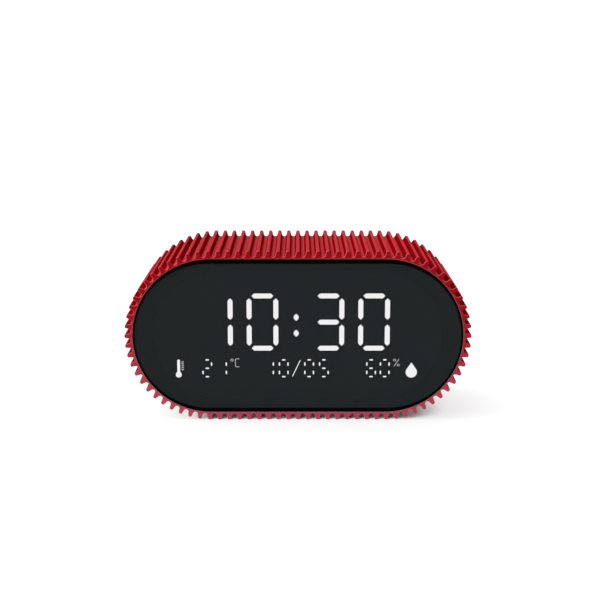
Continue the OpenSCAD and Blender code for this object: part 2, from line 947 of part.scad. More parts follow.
// Cap of a rear button, with the flange that keeps it in the cover
module key(i) {
  color(black_plastic) stand_up() translate([key_x(i), key_y]) {
    layer(back_level + key_sunk, flange_floor) stadium_of(key_w, key_h);
    layer(flange_floor - key_flange_t, flange_floor)
      stadium_of(key_w + 2 * key_flange_w, key_h + 2 * key_flange_w);
  }
}

// Plunger of the switch behind a rear button
module plunger(i) {
  color(unlit_grey) stand_up()
    post([key_x(i), key_y], plunger_d, flange_floor + fit_gap, switch_level + plunger_reach - fit_gap);
}

module set_button() {
  key(0);
}

module alarm_button() {
  key(1);
}

module up_button() {
  key(2);
}

module down_button() {
  key(3);
}

module light_button() {
  key(4);
}

module set_plunger() {
  plunger(0);
}

module alarm_plunger() {
  plunger(1);
}

module up_plunger() {
  plunger(2);
}

module down_plunger() {
  plunger(3);
}

module light_plunger() {
  plunger(4);
}

// The knob rests at the left end of its travel, and has grooves for a fingernail
knob_x = leg_x - slide_travel / 2;
case_low = board_level - slide_case[2];

module alarm_switch_case() {
  color(steel) stand_up() difference() {
    chip([leg_x, slide_y], slide_case, case_low);
    chip([leg_x, slide_y], slide_case - 2 * slide_wall * [1, 1, 1], case_low + slide_wall);
    layer(case_low - cut, case_low + slide_wall + cut) translate([leg_x, slide_y])
      square([knob_w + slide_travel + 2 * run_gap, knob_h + 2 * run_gap], center = true);
  }
}

module alarm_switch_knob() {
  color(light_white) stand_up() difference() {
    union() {
      layer(back_level + key_sunk, case_low + slide_wall + loose_gap + knob_base[2])
        translate([knob_x, slide_y]) square([knob_w, knob_h], center = true);
      chip([knob_x, slide_y], knob_base, case_low + slide_wall + loose_gap);
    }
    for (i = [-1:1])
      layer(back_level, back_level + key_sunk + knob_groove_t)
        translate([knob_x + i * knob_groove_pitch, slide_y])
          square([knob_groove_w, knob_h + cut], center = true);
  }
}

usb_mouth = back_level + usb_sunk;

module usb_shell() {
  color(steel) stand_up() translate([leg_x, usb_y]) difference() {
    layer(usb_mouth, board_level) stadium_of(usb_w, usb_h);
    layer(usb_mouth - cut, usb_mouth + usb_depth) stadium_of(usb_w - 2 * usb_wall, usb_h - 2 * usb_wall);
  }
}

module usb_tongue() {
  color(black_plastic) stand_up() translate([leg_x, usb_y])
    layer(usb_mouth + tongue_short, usb_mouth + usb_depth) square([tongue_w, tongue_t], center = true);
}

module speaker_gasket() {
  color(unlit_grey) stand_up() translate([speaker_x, 0]) layer(cover_level, gasket_level) difference() {
    circle(d = speaker_d);
    circle(d = speaker_d - 2 * speaker_rim);
  }
}

// Basket turned from its half section: rim, sloping wall and back plate
module speaker_basket() {
  rim_r = speaker_d / 2;
  mouth_r = rim_r - speaker_rim;
  color(steel) stand_up() translate([speaker_x, 0, gasket_level]) rotate_extrude() polygon([
    [mouth_r, 0], [rim_r, 0], [rim_r, rim_t], [mouth_r + basket_t, rim_t],
    [magnet_d / 2, basket_h], [0, basket_h], [0, basket_h - basket_t],
    [magnet_d / 2 - basket_t, basket_h - basket_t], [mouth_r, rim_t]
  ]);
}

module speaker_magnet() {
  color(unlit_grey) stand_up() post([speaker_x, 0], magnet_d, gasket_level + basket_h,
    gasket_level + basket_h + magnet_t);
}

// Paper cone that hangs from the basket's mouth, with a dome over the coil
module speaker_cone() {
  mouth_r = speaker_d / 2 - speaker_rim - fit_gap;
  color(unlit_grey) stand_up() translate([speaker_x, 0, gasket_level]) rotate_extrude() polygon([
    [mouth_r, 0], [mouth_r, cone_t], [coil_r, cone_sag + cone_t], [0, cone_sag / 2 + cone_t],
    [0, cone_sag / 2], [coil_r, cone_sag]
  ]);
}

// Wire that rises from one point, turns over in a half circle and comes down on another.
// A station of its path is a distance along the span, a level and a heading.
function jumper_path(from, to, half) =
  let (top = max(from[2], to[2]) + lead_r)
  concat(
    [[-half, from[2], 90]],
    [
      for (i = [0:lead_steps])
        let (turn = 180 - 180 * i / lead_steps)
        [half * cos(turn), top + half * sin(turn), turn - 90]
    ],
    [[half, to[2], -90]]
  );
function wire_ring(station) = [
  for (k = [0:lead_sides - 1])
    let (side = 360 * k / lead_sides)
    let (rise = lead_r * cos(side))
    [
      station[0] - rise * sin(station[2]),
      lead_r * sin(side),
      station[1] + rise * cos(station[2])
    ]
];

module jumper(from, to) {
  span = [to[0] - from[0], to[1] - from[1]];
  path = jumper_path(from, to, norm(span) / 2);
  translate([(from[0] + to[0]) / 2, (from[1] + to[1]) / 2, 0]) rotate(atan2(span[1], span[0]))
    polyhedron(
      points = [for (station = path) each wire_ring(station)],
      faces = tube_faces(len(path) - 1, lead_sides)
    );
}

lead_row = key_y - strip_half + lead_edge;

module speaker_leads() {
  rim_middle = (speaker_d - speaker_rim + basket_t) / 2;
  color(red_rubber) stand_up()
    for (shift = speaker_lead_x)
      jumper([speaker_x + shift, sqrt(rim_middle * rim_middle - shift * shift), gasket_level + rim_t],
        [speaker_x + shift, lead_row, board_front]);
}

// Door with a round lower edge, a pin at each end of it and grip grooves at its upper edge
module battery_door() {
  w = door_w - 2 * door_gap;
  color(black_plastic) stand_up() {
    difference() {
      layer(back_level, door_level) door_outline();
      for (i = [0:grip_count - 1])
        layer(back_level - cut, back_level + grip_t)
          translate([0, tray_y + door_h / 2 - grip_edge - i * grip_pitch]) stadium_of(grip_l, grip_w);
    }
    translate([0, hinge_y, hinge_level]) rotate([0, 90, 0]) {
      cylinder(d = door_t, h = w, center = true);
      cylinder(d = hinge_pin_d, h = w + 2 * (door_gap + hinge_pin_l), center = true);
    }
  }
}

// The upper cell's nub points right and the lower one's left
cell_pitch = cell_d + cell_gap;
function cell_y(i) = tray_y + (0.5 - i) * cell_pitch;
function cell_way(i) = i == 0 ? 1 : -1;

// One cell along X from its flat end to its nub
module cell() {
  rotate([0, 90, 0]) rotate_extrude() polygon([
    [0, 0], [cell_d / 2 - cell_edge, 0], [cell_d / 2, cell_edge],
    [cell_d / 2, cell_l - nub_l - cell_edge], [cell_d / 2 - cell_edge, cell_l - nub_l],
    [nub_d / 2, cell_l - nub_l], [nub_d / 2, cell_l], [0, cell_l]
  ]);
}

module battery_cells() {
  color(cell_green) stand_up()
    for (i = [0:cell_count - 1])
      translate([cell_way(i) * (tray_l / 2 - contact_t - contact_gap), cell_y(i), cell_level])
        rotate(cell_way(i) > 0 ? 0 : 180) translate([-cell_l, 0, 0]) cell();
}

// Contact plates: two single ones at the left end and a bridge at the right
contact_x = tray_l / 2 - contact_t / 2;
contact_tails = [for (i = [0:cell_count - 1]) [-contact_x, cell_y(i)]];

module battery_contacts() {
  color(steel) stand_up() {
    chip([contact_x, tray_y], [contact_t, cell_pitch + contact_w, contact_w], cell_level - contact_w / 2);
    for (spot = contact_tails) {
      chip(spot, [contact_t, contact_w, contact_w], cell_level - contact_w / 2);
      layer(cell_level, tray_top + tail_l) translate(spot) square([contact_t, tail_w], center = true);
    }
  }
}

// Points on a ring of the spring's wire, and the tube through all rings
spring_rings = ceil(spring_turns * spring_steps);
spring_run = spring_l - 2 * (wire_r + fit_gap);
function spring_ring(i) =
  let (share = i / spring_rings)
  let (turn = 360 * spring_turns * share)
  let (r = spring_r[0] + (spring_r[1] - spring_r[0]) * share)
  [
    for (k = [0:spring_sides - 1])
      let (side = 360 * k / spring_sides)
      let (out = r + wire_r * cos(side))
      [out * cos(turn), out * sin(turn), spring_run * share + wire_r * sin(side)]
  ];
function tube_faces(rings, sides) = concat(
  [[for (k = [sides - 1:-1:0]) k]],
  [[for (k = [0:sides - 1]) rings * sides + k]],
  [
    for (i = [0:rings - 1], k = [0:sides - 1])
      let (next = (k + 1) % sides)
      each [
        [i * sides + k, (i + 1) * sides + next, (i + 1) * sides + k],
        [i * sides + k, i * sides + next, (i + 1) * sides + next]
      ]
  ]
);

module battery_springs() {
  color(steel) stand_up()
    for (i = [0:cell_count - 1])
      translate([-cell_way(i) * (tray_l / 2 - contact_t - wire_r - fit_gap), cell_y(i), cell_level])
        rotate([0, cell_way(i) * 90, 0])
          polyhedron(
            points = [for (ring = [0:spring_rings]) each spring_ring(ring)],
            faces = tube_faces(spring_rings, spring_sides)
          );
}

module battery_leads() {
  color(black_plastic) stand_up()
    for (i = [0:cell_count - 1])
      jumper([contact_tails[i][0], contact_tails[i][1], tray_top + tail_l],
        [-contact_x + battery_lead_x[i], lead_row, board_front]);
}

ribbed_sleeve();
front_housing();
display_lens();
lens_tape();
display_face();
time_digits();
time_colon();
temperature_digits();
date_digits();
humidity_digits();
unit_signs();
thermometer_icon();
drop_icon();
unlit_segments();
display_board();
display_screws();
display_cable();
cable_sockets();
rear_cover();
cover_screws();
main_board();
board_screws();
clock_chip();
timing_crystal();
climate_sensor();
tact_switches();
set_button();
alarm_button();
up_button();
down_button();
light_button();
set_plunger();
alarm_plunger();
up_plunger();
down_plunger();
light_plunger();
alarm_switch_case();
alarm_switch_knob();
usb_shell();
usb_tongue();
speaker_basket();
speaker_magnet();
speaker_cone();
speaker_gasket();
speaker_leads();
battery_door();
battery_cells();
battery_springs();
battery_contacts();
battery_leads();
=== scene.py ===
"""Looks of a digital alarm clock: ribbed sleeve, dark window, lit bars and rear controls."""

import math

import bmesh
import bpy
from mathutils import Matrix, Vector


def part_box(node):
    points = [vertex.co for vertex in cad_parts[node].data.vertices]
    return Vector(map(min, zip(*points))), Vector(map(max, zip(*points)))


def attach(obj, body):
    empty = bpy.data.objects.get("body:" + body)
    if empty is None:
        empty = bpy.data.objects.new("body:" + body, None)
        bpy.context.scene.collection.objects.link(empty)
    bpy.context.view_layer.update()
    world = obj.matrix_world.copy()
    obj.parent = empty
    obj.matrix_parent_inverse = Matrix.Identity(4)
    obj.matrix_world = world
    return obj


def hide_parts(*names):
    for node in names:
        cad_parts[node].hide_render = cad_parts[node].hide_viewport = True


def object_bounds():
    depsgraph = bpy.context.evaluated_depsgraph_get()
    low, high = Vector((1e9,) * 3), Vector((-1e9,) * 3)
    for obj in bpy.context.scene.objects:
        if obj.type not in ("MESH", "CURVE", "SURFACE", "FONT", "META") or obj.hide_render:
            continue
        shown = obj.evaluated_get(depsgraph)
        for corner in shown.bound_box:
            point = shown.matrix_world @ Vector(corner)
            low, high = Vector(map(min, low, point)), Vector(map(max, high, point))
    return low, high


bl_info = {
    "name": "Ribbed alarm clock",
    "version": (1, 0, 0),
    "blender": (4, 5, 0),
    "location": "View3D > Sidebar > Clock",
    "description": "Dresses the CAD model of a digital alarm clock in a ribbed sleeve",
    "category": "Object",
}

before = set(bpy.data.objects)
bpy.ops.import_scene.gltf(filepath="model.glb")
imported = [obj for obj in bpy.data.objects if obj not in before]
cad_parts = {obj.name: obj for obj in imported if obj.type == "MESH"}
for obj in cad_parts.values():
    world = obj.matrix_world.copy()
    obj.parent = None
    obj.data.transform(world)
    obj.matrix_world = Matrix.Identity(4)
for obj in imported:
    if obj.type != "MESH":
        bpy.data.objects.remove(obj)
CAD_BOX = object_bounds()
SLEEVE_LOW, SLEEVE_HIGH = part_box("ribbed_sleeve")
MIDDLE_Z = (SLEEVE_LOW.z + SLEEVE_HIGH.z) / 2
KEYS = ("set", "alarm", "up", "down", "light")
LIT_NODES = (
    "time_digits", "time_colon", "temperature_digits", "date_digits",
    "humidity_digits", "thermometer_icon", "drop_icon",
)

# Steps of rounded edges, rib tips, valleys, discs, rings and the gasket
EDGE_STEPS, TIP_STEPS, VALLEY_STEPS = 4, 5, 9
DISC_STEPS, RING_STEPS, GASKET_STEPS = 20, 28, 64
# Steps along a lead, a turn of a spring and the flat cable
LEAD_STEPS, COIL_STEPS, CABLE_STEPS = 20, 28, 32
# Sides of a lead and of the wire of a spring
LEAD_SIDES, WIRE_SIDES = 14, 10
# Conductors of the flat cable, points over each, and share of the thickness left between them
CONDUCTORS, RIDGE_POINTS, FILM_DIP = 12, 6, 0.7
# The two leads of a pair, across from the middle of the speaker and from the battery contacts
SPEAKER_LEADS = (0.002, 0.0045)
BATTERY_LEADS = (-0.003, -0.0055)

# Signs on the controls, in shares of half a sign's size
SET_RING, SET_DOT, OFF_RING = (0.9, 0.62), 0.3, (0.8, 0.52)
ARROWS = {
    "up": ((-0.95, -0.6), (0.95, -0.6), (0.0, 0.9)),
    "down": ((-0.95, 0.6), (0.0, -0.9), (0.95, 0.6)),
}
SUN_DISC, SUN_RAYS = 0.5, 8
SUN_RAY = ((0.72, -0.1), (1.05, -0.1), (1.05, 0.1), (0.72, 0.1))
BELL_DOME, BELL_SHOULDER, DOME_STEPS = 0.62, 0.3, 10
BELL_SKIRT = ((-0.66, -0.3), (-0.95, -0.62), (0.95, -0.62), (0.66, -0.3))
CLAPPER, CLAPPER_DROP, CLAPPER_STEPS = 0.2, 0.82, 12

# Moulded plastics: colour, roughness, size and depth of the grain, wear of the edges and gloss
PLASTICS = {
    "ring_black": ("ring_black", 0.4, 0.0004, 0.000004, 0.1, 0.012),
    "block_black": ("block_black", 0.7, 0.0003, 0.00002, 0.0, 0.02),
    "segment_dark": ("segment_dark", 0.6, 0.0005, 0.00001, 0.0, 0.02),
    "socket_nylon": ("socket_cream", 0.5, 0.0004, 0.00002, 0.3, 0.5),
    "cover_black": ("cover_black", 0.5, 0.0004, 0.00003, 0.35, 0.5),
    "door_black": ("cover_black", 0.5, 0.0004, 0.00003, 0.45, 0.5),
    "key_satin": ("key_black", 0.4, 0.0003, 0.00001, 0.5, 0.5),
    "plunger_grey": ("plunger_grey", 0.45, 0.0003, 0.00001, 0.3, 0.5),
    "switch_black": ("switch_black", 0.55, 0.0003, 0.00002, 0.3, 0.5),
    "knob_grey": ("knob_grey", 0.4, 0.0003, 0.00001, 0.3, 0.5),
    "mark_ink": ("mark_white", 0.55, 0.0002, 0.000005, 0.0, 0.5),
    "switch_ink": ("mark_white", 0.55, 0.0002, 0.000005, 0.0, 0.5),
    "chip_epoxy": ("chip_black", 0.6, 0.0002, 0.00001, 0.1, 0.5),
    "magnet_ferrite": ("magnet_grey", 0.6, 0.0006, 0.00003, 0.5, 0.5),
}

# Reach of painted shade at the sleeve's back, and height of the painted sheen near the floor
FAR_REACH, PAINTED_SHEEN_REACH = 0.006, 0.05
# Strengths: painted shade at the back and on cut-end tips; painted sheen on skin and cut ends
FAR_SHADE, TIP_SHADE = 0.55, 0.5
SKIN_PAINTED_SHEEN, CUT_PAINTED_SHEEN = 0.02, 0.23
# The dim part of the surround lies in front, turned to the right, and above the horizon
DIM_TURN, DIM_FULL, DIM_NONE = 0.9, -1.0, 0.7
HORIZON_LOW, HORIZON_HIGH = 0.1, 0.3
# Rays that look for what shades a point of the floor
SHADE_RAYS = 16


# Settings that a user would change


def setting(kind, **limits):
    """Function that makes a setting of one kind from a name, a description and a default."""

    def make(name, description, default):
        return kind(name=name, description=description, default=default, **limits)

    return make


length = setting(bpy.props.FloatProperty, precision=5, subtype="DISTANCE", unit="LENGTH")
focal_length = setting(bpy.props.FloatProperty, subtype="DISTANCE_CAMERA")
rotation = setting(bpy.props.FloatProperty, subtype="ANGLE", unit="ROTATION")
amount = setting(bpy.props.FloatProperty, min=0)
number = setting(bpy.props.IntProperty, min=8)
colour = setting(bpy.props.FloatVectorProperty, size=3, min=0, max=1, subtype="COLOR")
direction = setting(bpy.props.FloatVectorProperty, size=3, subtype="DIRECTION")


class ClockSizes(bpy.types.PropertyGroup):
    """Sizes of the pieces that are built here"""

    rib_count: number("Ribs", "Number of ribs round the sleeve", 88)
    rib_height: length("Rib height", "Height of a rib above the valleys", 0.00255)
    tip_width: length("Tip width", "Width of a rib near its tip", 0.0015)
    tip_round: length("Tip rounding", "Rounding of the edges of a tip", 0.0005)
    valley_round: length("Valley radius", "Radius of the valley between two ribs", 0.001)
    seat_inset: length("Seat inset", "Rib tips to the seat of the front ring", 0.0034)
    wall_inset: length("Wall inset", "Rib tips to the inner wall", 0.00385)
    seat_depth: length("Seat depth", "Depth of the seat of the front ring", 0.001)
    end_round: length("End rounding", "Rounding of the cut ends of the ribs", 0.00022)
    lip_round: length("Lip rounding", "Rounding of the edge beside the ring", 0.00028)
    # The pale lip is a painted highlight beside the ring
    lip_width: length("Lip width", "Width of the pale lip beside the ring", 0.00042)
    edge_round: length("Edge rounding", "Rounding of the edges of moulded pieces", 0.00015)
    mark_size: length("Mark size", "Half the size of a mark on a button", 0.0013)
    mark_sunk: length("Mark depth", "Depth of a mark in what carries it", 0.00005)
    mark_raised: length("Mark height", "Height of a mark over what carries it", 0.00004)
    switch_floor: length("Switch recess", "Floor of the recess of the alarm switch", 0.0291)
    switch_mark_size: length("Switch mark size", "Half the size of a mark at the switch", 0.00104)
    switch_mark_shift: length("Switch mark shift", "Middle of the switch to its marks", 0.0044)
    film_thickness: length("Cable thickness", "Flat cable over a conductor", 0.00026)
    lead_radius: length("Lead radius", "Radius of an insulated lead", 0.0004)
    lead_drop: length("Lead row", "Soldered leads below the middle of the switches", 0.0035)
    rim_radius: length("Rim radius", "Middle of the speaker to the middle of its rim", 0.0095)
    rim_thickness: length("Rim thickness", "Thickness of the speaker's rim", 0.0008)
    gasket_width: length("Gasket width", "Width of the speaker's gasket", 0.0016)
    gasket_round: length("Gasket rounding", "Rounding of the gasket's edges", 0.0003)
    contact_thickness: length("Contact thickness", "Thickness of a battery contact", 0.0004)
    contact_width: length("Contact width", "Width of a battery contact", 0.008)
    spring_wire: length("Spring wire", "Radius of the wire of a contact spring", 0.0003)
    spring_tip: length("Spring tip", "Radius of a contact spring at the cell", 0.0017)
    spring_run: length("Spring length", "Length of a contact spring under its cell", 0.0028)
    spring_turns: amount("Spring turns", "Turns of a contact spring", 3.5)


class ClockColours(bpy.types.PropertyGroup):
    """Colours and glow of the finishes"""

    sleeve_red: colour("Sleeve", "Silicone on the crests of the ribs", (0.44, 0.004, 0.011))
    # Painted shade on the ribs' flanks
    sleeve_flank_painted_shade: colour("Sleeve flanks", "Silicone on the ribs' flanks", (0.29, 0.0004, 0.004))
    # Painted light on the valley floors
    sleeve_valley_painted_light: colour("Sleeve valleys", "Silicone in the valleys", (0.62, 0.014, 0.024))
    # Painted shade at the tips and the back
    sleeve_painted_shade: colour("Sleeve tips", "Silicone at the tips and the back", (0.1, 0.001, 0.022))
    # Painted shade on the cut ends, which face the front
    sleeve_cut_painted_shade: colour("Sleeve ends", "Silicone on the cut ends of the ribs", (0.355, 0.004, 0.009))
    # Painted sheen from the floor near the bottom, also the colour of pale dust
    sleeve_painted_sheen_and_dust: colour("Sleeve bloom", "Pale bloom near the floor", (1.0, 0.26, 0.38))
    # Painted highlights along the edges
    sleeve_edge_painted_highlight: colour("Sleeve edges", "Silicone rubbed pale along edges", (0.75, 0.22, 0.26))
    ring_black: colour("Ring", "Front ring and housing", (0.0009, 0.0008, 0.0008))
    lens_smoke: colour("Lens", "Smoked window", (0.0198, 0.0246, 0.0258))
    tape_black: colour("Lens tape", "Foam tape behind the lens", (0.001, 0.001, 0.001))
    segment_white: colour("Lit bars", "Light of the display", (1.0, 1.0, 1.0))
    bar_glow: amount("Bar glow", "Strength of the lit bars and icons", 9.5)
    sign_glow: amount("Sign glow", "Strength of the lit unit signs", 4.6)
    segment_dark: colour("Unlit bars", "Bars that are dark", (0.0012, 0.0012, 0.0013))
    block_black: colour("Light block", "Block that holds the bars", (0.001, 0.001, 0.001))
    cover_black: colour("Rear cover", "Rear cover and battery door", (0.016, 0.016, 0.017))
    key_black: colour("Buttons", "Rear buttons", (0.03, 0.03, 0.032))
    mark_white: colour("Marks", "Marks on the buttons", (0.62, 0.62, 0.63))
    plunger_grey: colour("Plungers", "Plungers of the buttons' switches", (0.2, 0.2, 0.2))
    switch_black: colour("Switches", "Cases of the buttons' switches", (0.015, 0.015, 0.015))
    knob_grey: colour("Knob", "Knob of the alarm switch", (0.45, 0.45, 0.46))
    board_green: colour("Boards", "Solder mask of the boards", (0.012, 0.12, 0.05))
    chip_black: colour("Chips", "Epoxy of the chips", (0.012, 0.012, 0.013))
    socket_cream: colour("Sockets", "Nylon of the cable's sockets", (0.5, 0.47, 0.38))
    film_white: colour("Cable film", "Film of the flat cable", (0.75, 0.75, 0.76))
    wire_grey: colour("Conductors", "Conductors under the film", (0.5, 0.5, 0.5))
    steel: colour("Metal", "Screws, contacts and shells", (0.6, 0.61, 0.63))
    screw_black: colour("Cover screws", "Blackened screws of the cover", (0.09, 0.09, 0.095))
    gilt: colour("Gilt", "Contacts of the power inlet", (0.7, 0.5, 0.2))
    magnet_grey: colour("Magnet", "Ferrite of the speaker", (0.05, 0.05, 0.052))
    cone_black: colour("Cone", "Paper of the speaker's cone", (0.03, 0.03, 0.03))
    foam_black: colour("Gasket", "Foam of the speaker's gasket", (0.03, 0.03, 0.03))
    lead_red: colour("First lead", "Insulation of the first lead of a pair", (0.35, 0.01, 0.01))
    lead_black: colour("Second lead", "Insulation of the second lead", (0.012, 0.012, 0.013))
    lead_smear: colour("Lead smears", "Handling marks on the leads", (0.1, 0.1, 0.1))
    cell_wrap: colour("Cells", "Wrap of the battery cells", (0.03, 0.16, 0.1))
    cell_band: colour("Cell band", "Bright band of the cells", (0.55, 0.42, 0.16))
    cell_scuff: colour("Cell scuffs", "Scuffs on the cells", (0.4, 0.42, 0.4))


class ClockStage(bpy.types.PropertyGroup):
    """Floor, light and camera"""

    eye_distance: length("Eye distance", "Camera in front of the middle of the clock", 0.5537)
    eye_height: length("Eye height", "Camera above the floor", 0.1523)
    focal: focal_length("Focal length", "Focal length of the camera", 80.0)
    tilt: rotation("Tilt", "Camera turned up from the middle of the face", math.radians(1.575))
    pan: rotation("Pan", "Camera turned right from the middle of the face", math.radians(0.09))
    sky: amount("Surround", "Brightness of the white surround at the back", 1.04)
    front_sky: amount("Front surround", "Brightness of the surround at the front", 0.34)
    key_strength: amount("Key light", "Strength of the soft light from the left", 1.75)
    key_spread: rotation("Light spread", "Width of the key light from the clock", math.radians(26))
    key_from: direction("Key direction", "Where the soft light comes from", (-0.57, -0.12, 0.81))
    floor_tint: colour("Floor tint", "The floor's own tint under the lamp", (0.12, 0.12, 0.12))
    floor_cloud: amount("Floor clouding", "How far the floor's tint varies", 1 / 60)
    floor_glow: amount("Floor glow", "Strength of the floor's own white", 1.0)
    shade_reach: length("Shade reach", "How far the clock shades the floor", 0.1)
    shade_lean: direction("Shade lean", "A clear view this way keeps it white", (-0.5, 0.33, 0.8))
    core_view: amount("Shade core", "Share of the view below which the floor turns black", 0.13)
    core_white: amount("Core white", "White that the core of the shade takes away", 0.68)
    open_white: amount("Open white", "White that follows the clear share of the view", 0.44)
    floor_size: length("Floor", "Side of the floor", 9.0)
    floor_depth: length("Floor depth", "Thickness of the floor", 0.002)


# Shader maths


def maths(operation, swapped=False):
    """Method that puts a Math node on an output and the other terms."""

    def method(self, *others):
        terms = (*others, self) if swapped else (self, *others)
        return self.finish.node("ShaderNodeMath", {"operation": operation}, dict(enumerate(terms)))

    return method


class Wire:
    """Output of a shader node, so that shader maths reads as plain expressions."""

    def __init__(self, finish, socket):
        self.finish, self.socket = finish, socket

    __add__, __radd__ = maths("ADD"), maths("ADD", swapped=True)
    __sub__, __rsub__ = maths("SUBTRACT"), maths("SUBTRACT", swapped=True)
    __mul__, __rmul__ = maths("MULTIPLY"), maths("MULTIPLY", swapped=True)
    __gt__, __lt__ = maths("GREATER_THAN"), maths("LESS_THAN")
    __mod__, __abs__ = maths("FLOORED_MODULO"), maths("ABSOLUTE")


class Finish:
    """A material under construction, with one principled shader."""

    def __init__(self, name):
        material = bpy.data.materials.new(name)
        self.begin(material, "ShaderNodeBsdfPrincipled", "ShaderNodeOutputMaterial")

    def begin(self, owner, shader, output):
        """Empties the node tree and joins a shader to its output."""
        owner.use_nodes = True
        self.owner, self.tree = owner, owner.node_tree
        self.tree.nodes.clear()
        self.shader = self.tree.nodes.new(shader)
        end = self.tree.nodes.new(output)
        self.tree.links.new(self.shader.outputs[0], end.inputs["Surface"])

    def feed(self, node, key, value):
        """Links or sets one input, by its name or by its number among those in use."""
        sockets = [s for s in node.inputs if s.enabled]
        socket = sockets[key] if isinstance(key, int) else next(s for s in sockets if s.name == key)
        if isinstance(value, Wire):
            self.tree.links.new(value.socket, socket)
        elif socket.type == "RGBA":
            socket.default_value = (*value[:3], 1.0)
        else:
            socket.default_value = value

    def node(self, kind, settings=None, sockets=None, out=None):
        """Adds any node, settings first, then inputs. Gives the named output or the first."""
        made = self.tree.nodes.new(kind)
        for key, value in (settings or {}).items():
            setattr(made, key, value)
        for key, value in (sockets or {}).items():
            self.feed(made, key, value)
        outputs = [s for s in made.outputs if s.enabled]
        return Wire(self, next(s for s in outputs if out in (None, s.name)))

    def mix(self, share, first, second):
        """Blend of two colours."""
        return self.node(
            "ShaderNodeMix", {"data_type": "RGBA"}, {"Factor": share, "A": first, "B": second},
        )

    def spot(self):
        """Place on the piece in metres."""
        return self.node("ShaderNodeTexCoord", out="Object")

    def facing(self):
        """Direction that the surface faces."""
        return self.node("ShaderNodeNewGeometry", out="Normal")

    def axes(self, vector=None):
        """Parts across, in depth and in height, of a vector or of the place in metres."""
        vector = vector or self.spot()
        return [self.node("ShaderNodeSeparateXYZ", None, {0: vector}, out=axis) for axis in "XYZ"]

    def drawn(self, name):
        """Value kept on the points of the mesh."""
        return self.node("ShaderNodeAttribute", {"attribute_name": name}, out="Fac")

    def noise(self, size, detail=2.0, rough=0.5, vector=None):
        """Cloudy pattern from 0 to 1 with features of about that size."""
        return self.node("ShaderNodeTexNoise", None, {
            "Vector": vector or self.spot(), "Scale": 1 / size,
            "Detail": detail, "Roughness": rough,
        })

    def stretch(self, scale):
        """Place, drawn out or pressed together along each axis."""
        return self.node(
            "ShaderNodeVectorMath", {"operation": "MULTIPLY"}, {0: self.spot(), 1: scale},
        )

    def ramp(self, value, low, high):
        """0 below low, 1 above high and smooth between."""
        return self.node("ShaderNodeMapRange", {"interpolation_type": "SMOOTHSTEP"}, {
            "Value": value, "From Min": low, "From Max": high,
        })

    def edges(self, reach):
        """About 1 along the edges of the shape and 0 on its faces."""
        bent = self.node("ShaderNodeBevel", {"samples": 4}, {"Radius": reach})
        along = self.node(
            "ShaderNodeVectorMath", {"operation": "DOT_PRODUCT"}, {0: bent, 1: self.facing()},
            out="Value",
        )
        return self.ramp(1 - along, 0.01, 0.25)

    def stripes(self, place, pitch, low, high):
        """Stripes with soft edges: 0 within low of the middle of each pitch and 1 beyond high."""
        return self.ramp(abs(place % pitch - pitch / 2), low, high)

    def bump(self, height, depth):
        """Normal of a surface raised by a pattern."""
        raised = {"Strength": 1.0, "Distance": depth, "Height": height}
        return self.node("ShaderNodeBump", None, raised)

    def done(self, **sockets):
        """Feeds the shader, with underscores for the spaces in socket names."""
        for key, value in sockets.items():
            self.feed(self.shader, key.replace("_", " "), value)
        return self.owner


class Surround(Finish):
    """The light of the surround under construction."""

    def __init__(self, world):
        self.begin(world, "ShaderNodeBackground", "ShaderNodeOutputWorld")


def shade(tint, factor):
    """A colour made darker or lighter."""
    return tuple(min(1.0, c * factor) for c in tint)


# Finishes


def silicone(colours):
    """Soft silicone: painted shade on flanks, tips and back; painted edge highlights and sheen near
    the floor.
    """
    f = Finish("sleeve_silicone")
    cloud = f.noise(0.011, 3.0)
    dust = f.ramp(f.noise(0.0009, 4.0, 0.7), 0.64, 0.82)
    grain = f.noise(0.00022, 3.0, 0.6)
    _, depth, height = f.axes()
    across, _, up = f.axes(f.facing())
    rise, cut = f.drawn("rib_rise"), f.drawn("rib_cut")
    # Painted shade on the flanks between clear crests and valley floors; painted light on the
    # floors
    level = rise * 2 - 1
    clear = f.ramp(level * level + cloud * 0.1, 0.4, 0.85)
    tone = f.mix(clear, colours.sleeve_flank_painted_shade, f.mix(rise, colours.sleeve_valley_painted_light, colours.sleeve_red))
    # Painted shade over the last stretch towards the back
    far = f.ramp(depth, SLEEVE_HIGH.y - FAR_REACH, SLEEVE_HIGH.y)
    tone = f.mix(far * FAR_SHADE, tone, colours.sleeve_painted_shade)
    # Painted shade on the cut ends, which face the front, deeper at the tips
    tone = f.mix(cut * (0.8 + cloud * 0.4), tone, colours.sleeve_cut_painted_shade)
    tone = f.mix(cut * f.ramp(rise, 0.7, 1.0) * TIP_SHADE, tone, colours.sleeve_painted_shade)
    # Painted highlights on edges of the cut ends, on those facing up or left, and on all near the
    # floor
    lit = f.ramp(up * 0.5 - across, -0.3, 0.6)
    low = 1 - f.ramp(height, 0.0, PAINTED_SHEEN_REACH)
    edge_wear_and_highlight = f.drawn("rib_edge") * (1 - (1 - lit) * (1 - cut) * (1 - low)) * (0.4 + cloud * 0.4)
    tone = f.mix(edge_wear_and_highlight, tone, colours.sleeve_edge_painted_highlight)
    # Painted sheen from the floor near the bottom, with pale dust all over
    floor_painted_sheen = low * (SKIN_PAINTED_SHEEN + cut * CUT_PAINTED_SHEEN)
    tone = f.mix(floor_painted_sheen + dust * 0.03, tone, colours.sleeve_painted_sheen_and_dust)
    return f.done(
        Base_Color=tone,
        Roughness=0.85 + grain * 0.1,
        Normal=f.bump(grain + f.noise(0.003) * 0.6, 0.00002),
        Specular_IOR_Level=0.0,
        Coat_Weight=clear * (1 - far * 0.5) * (0.24 + cloud * 0.14),
        Coat_Roughness=0.5,
        Coat_IOR=1.3,
    )


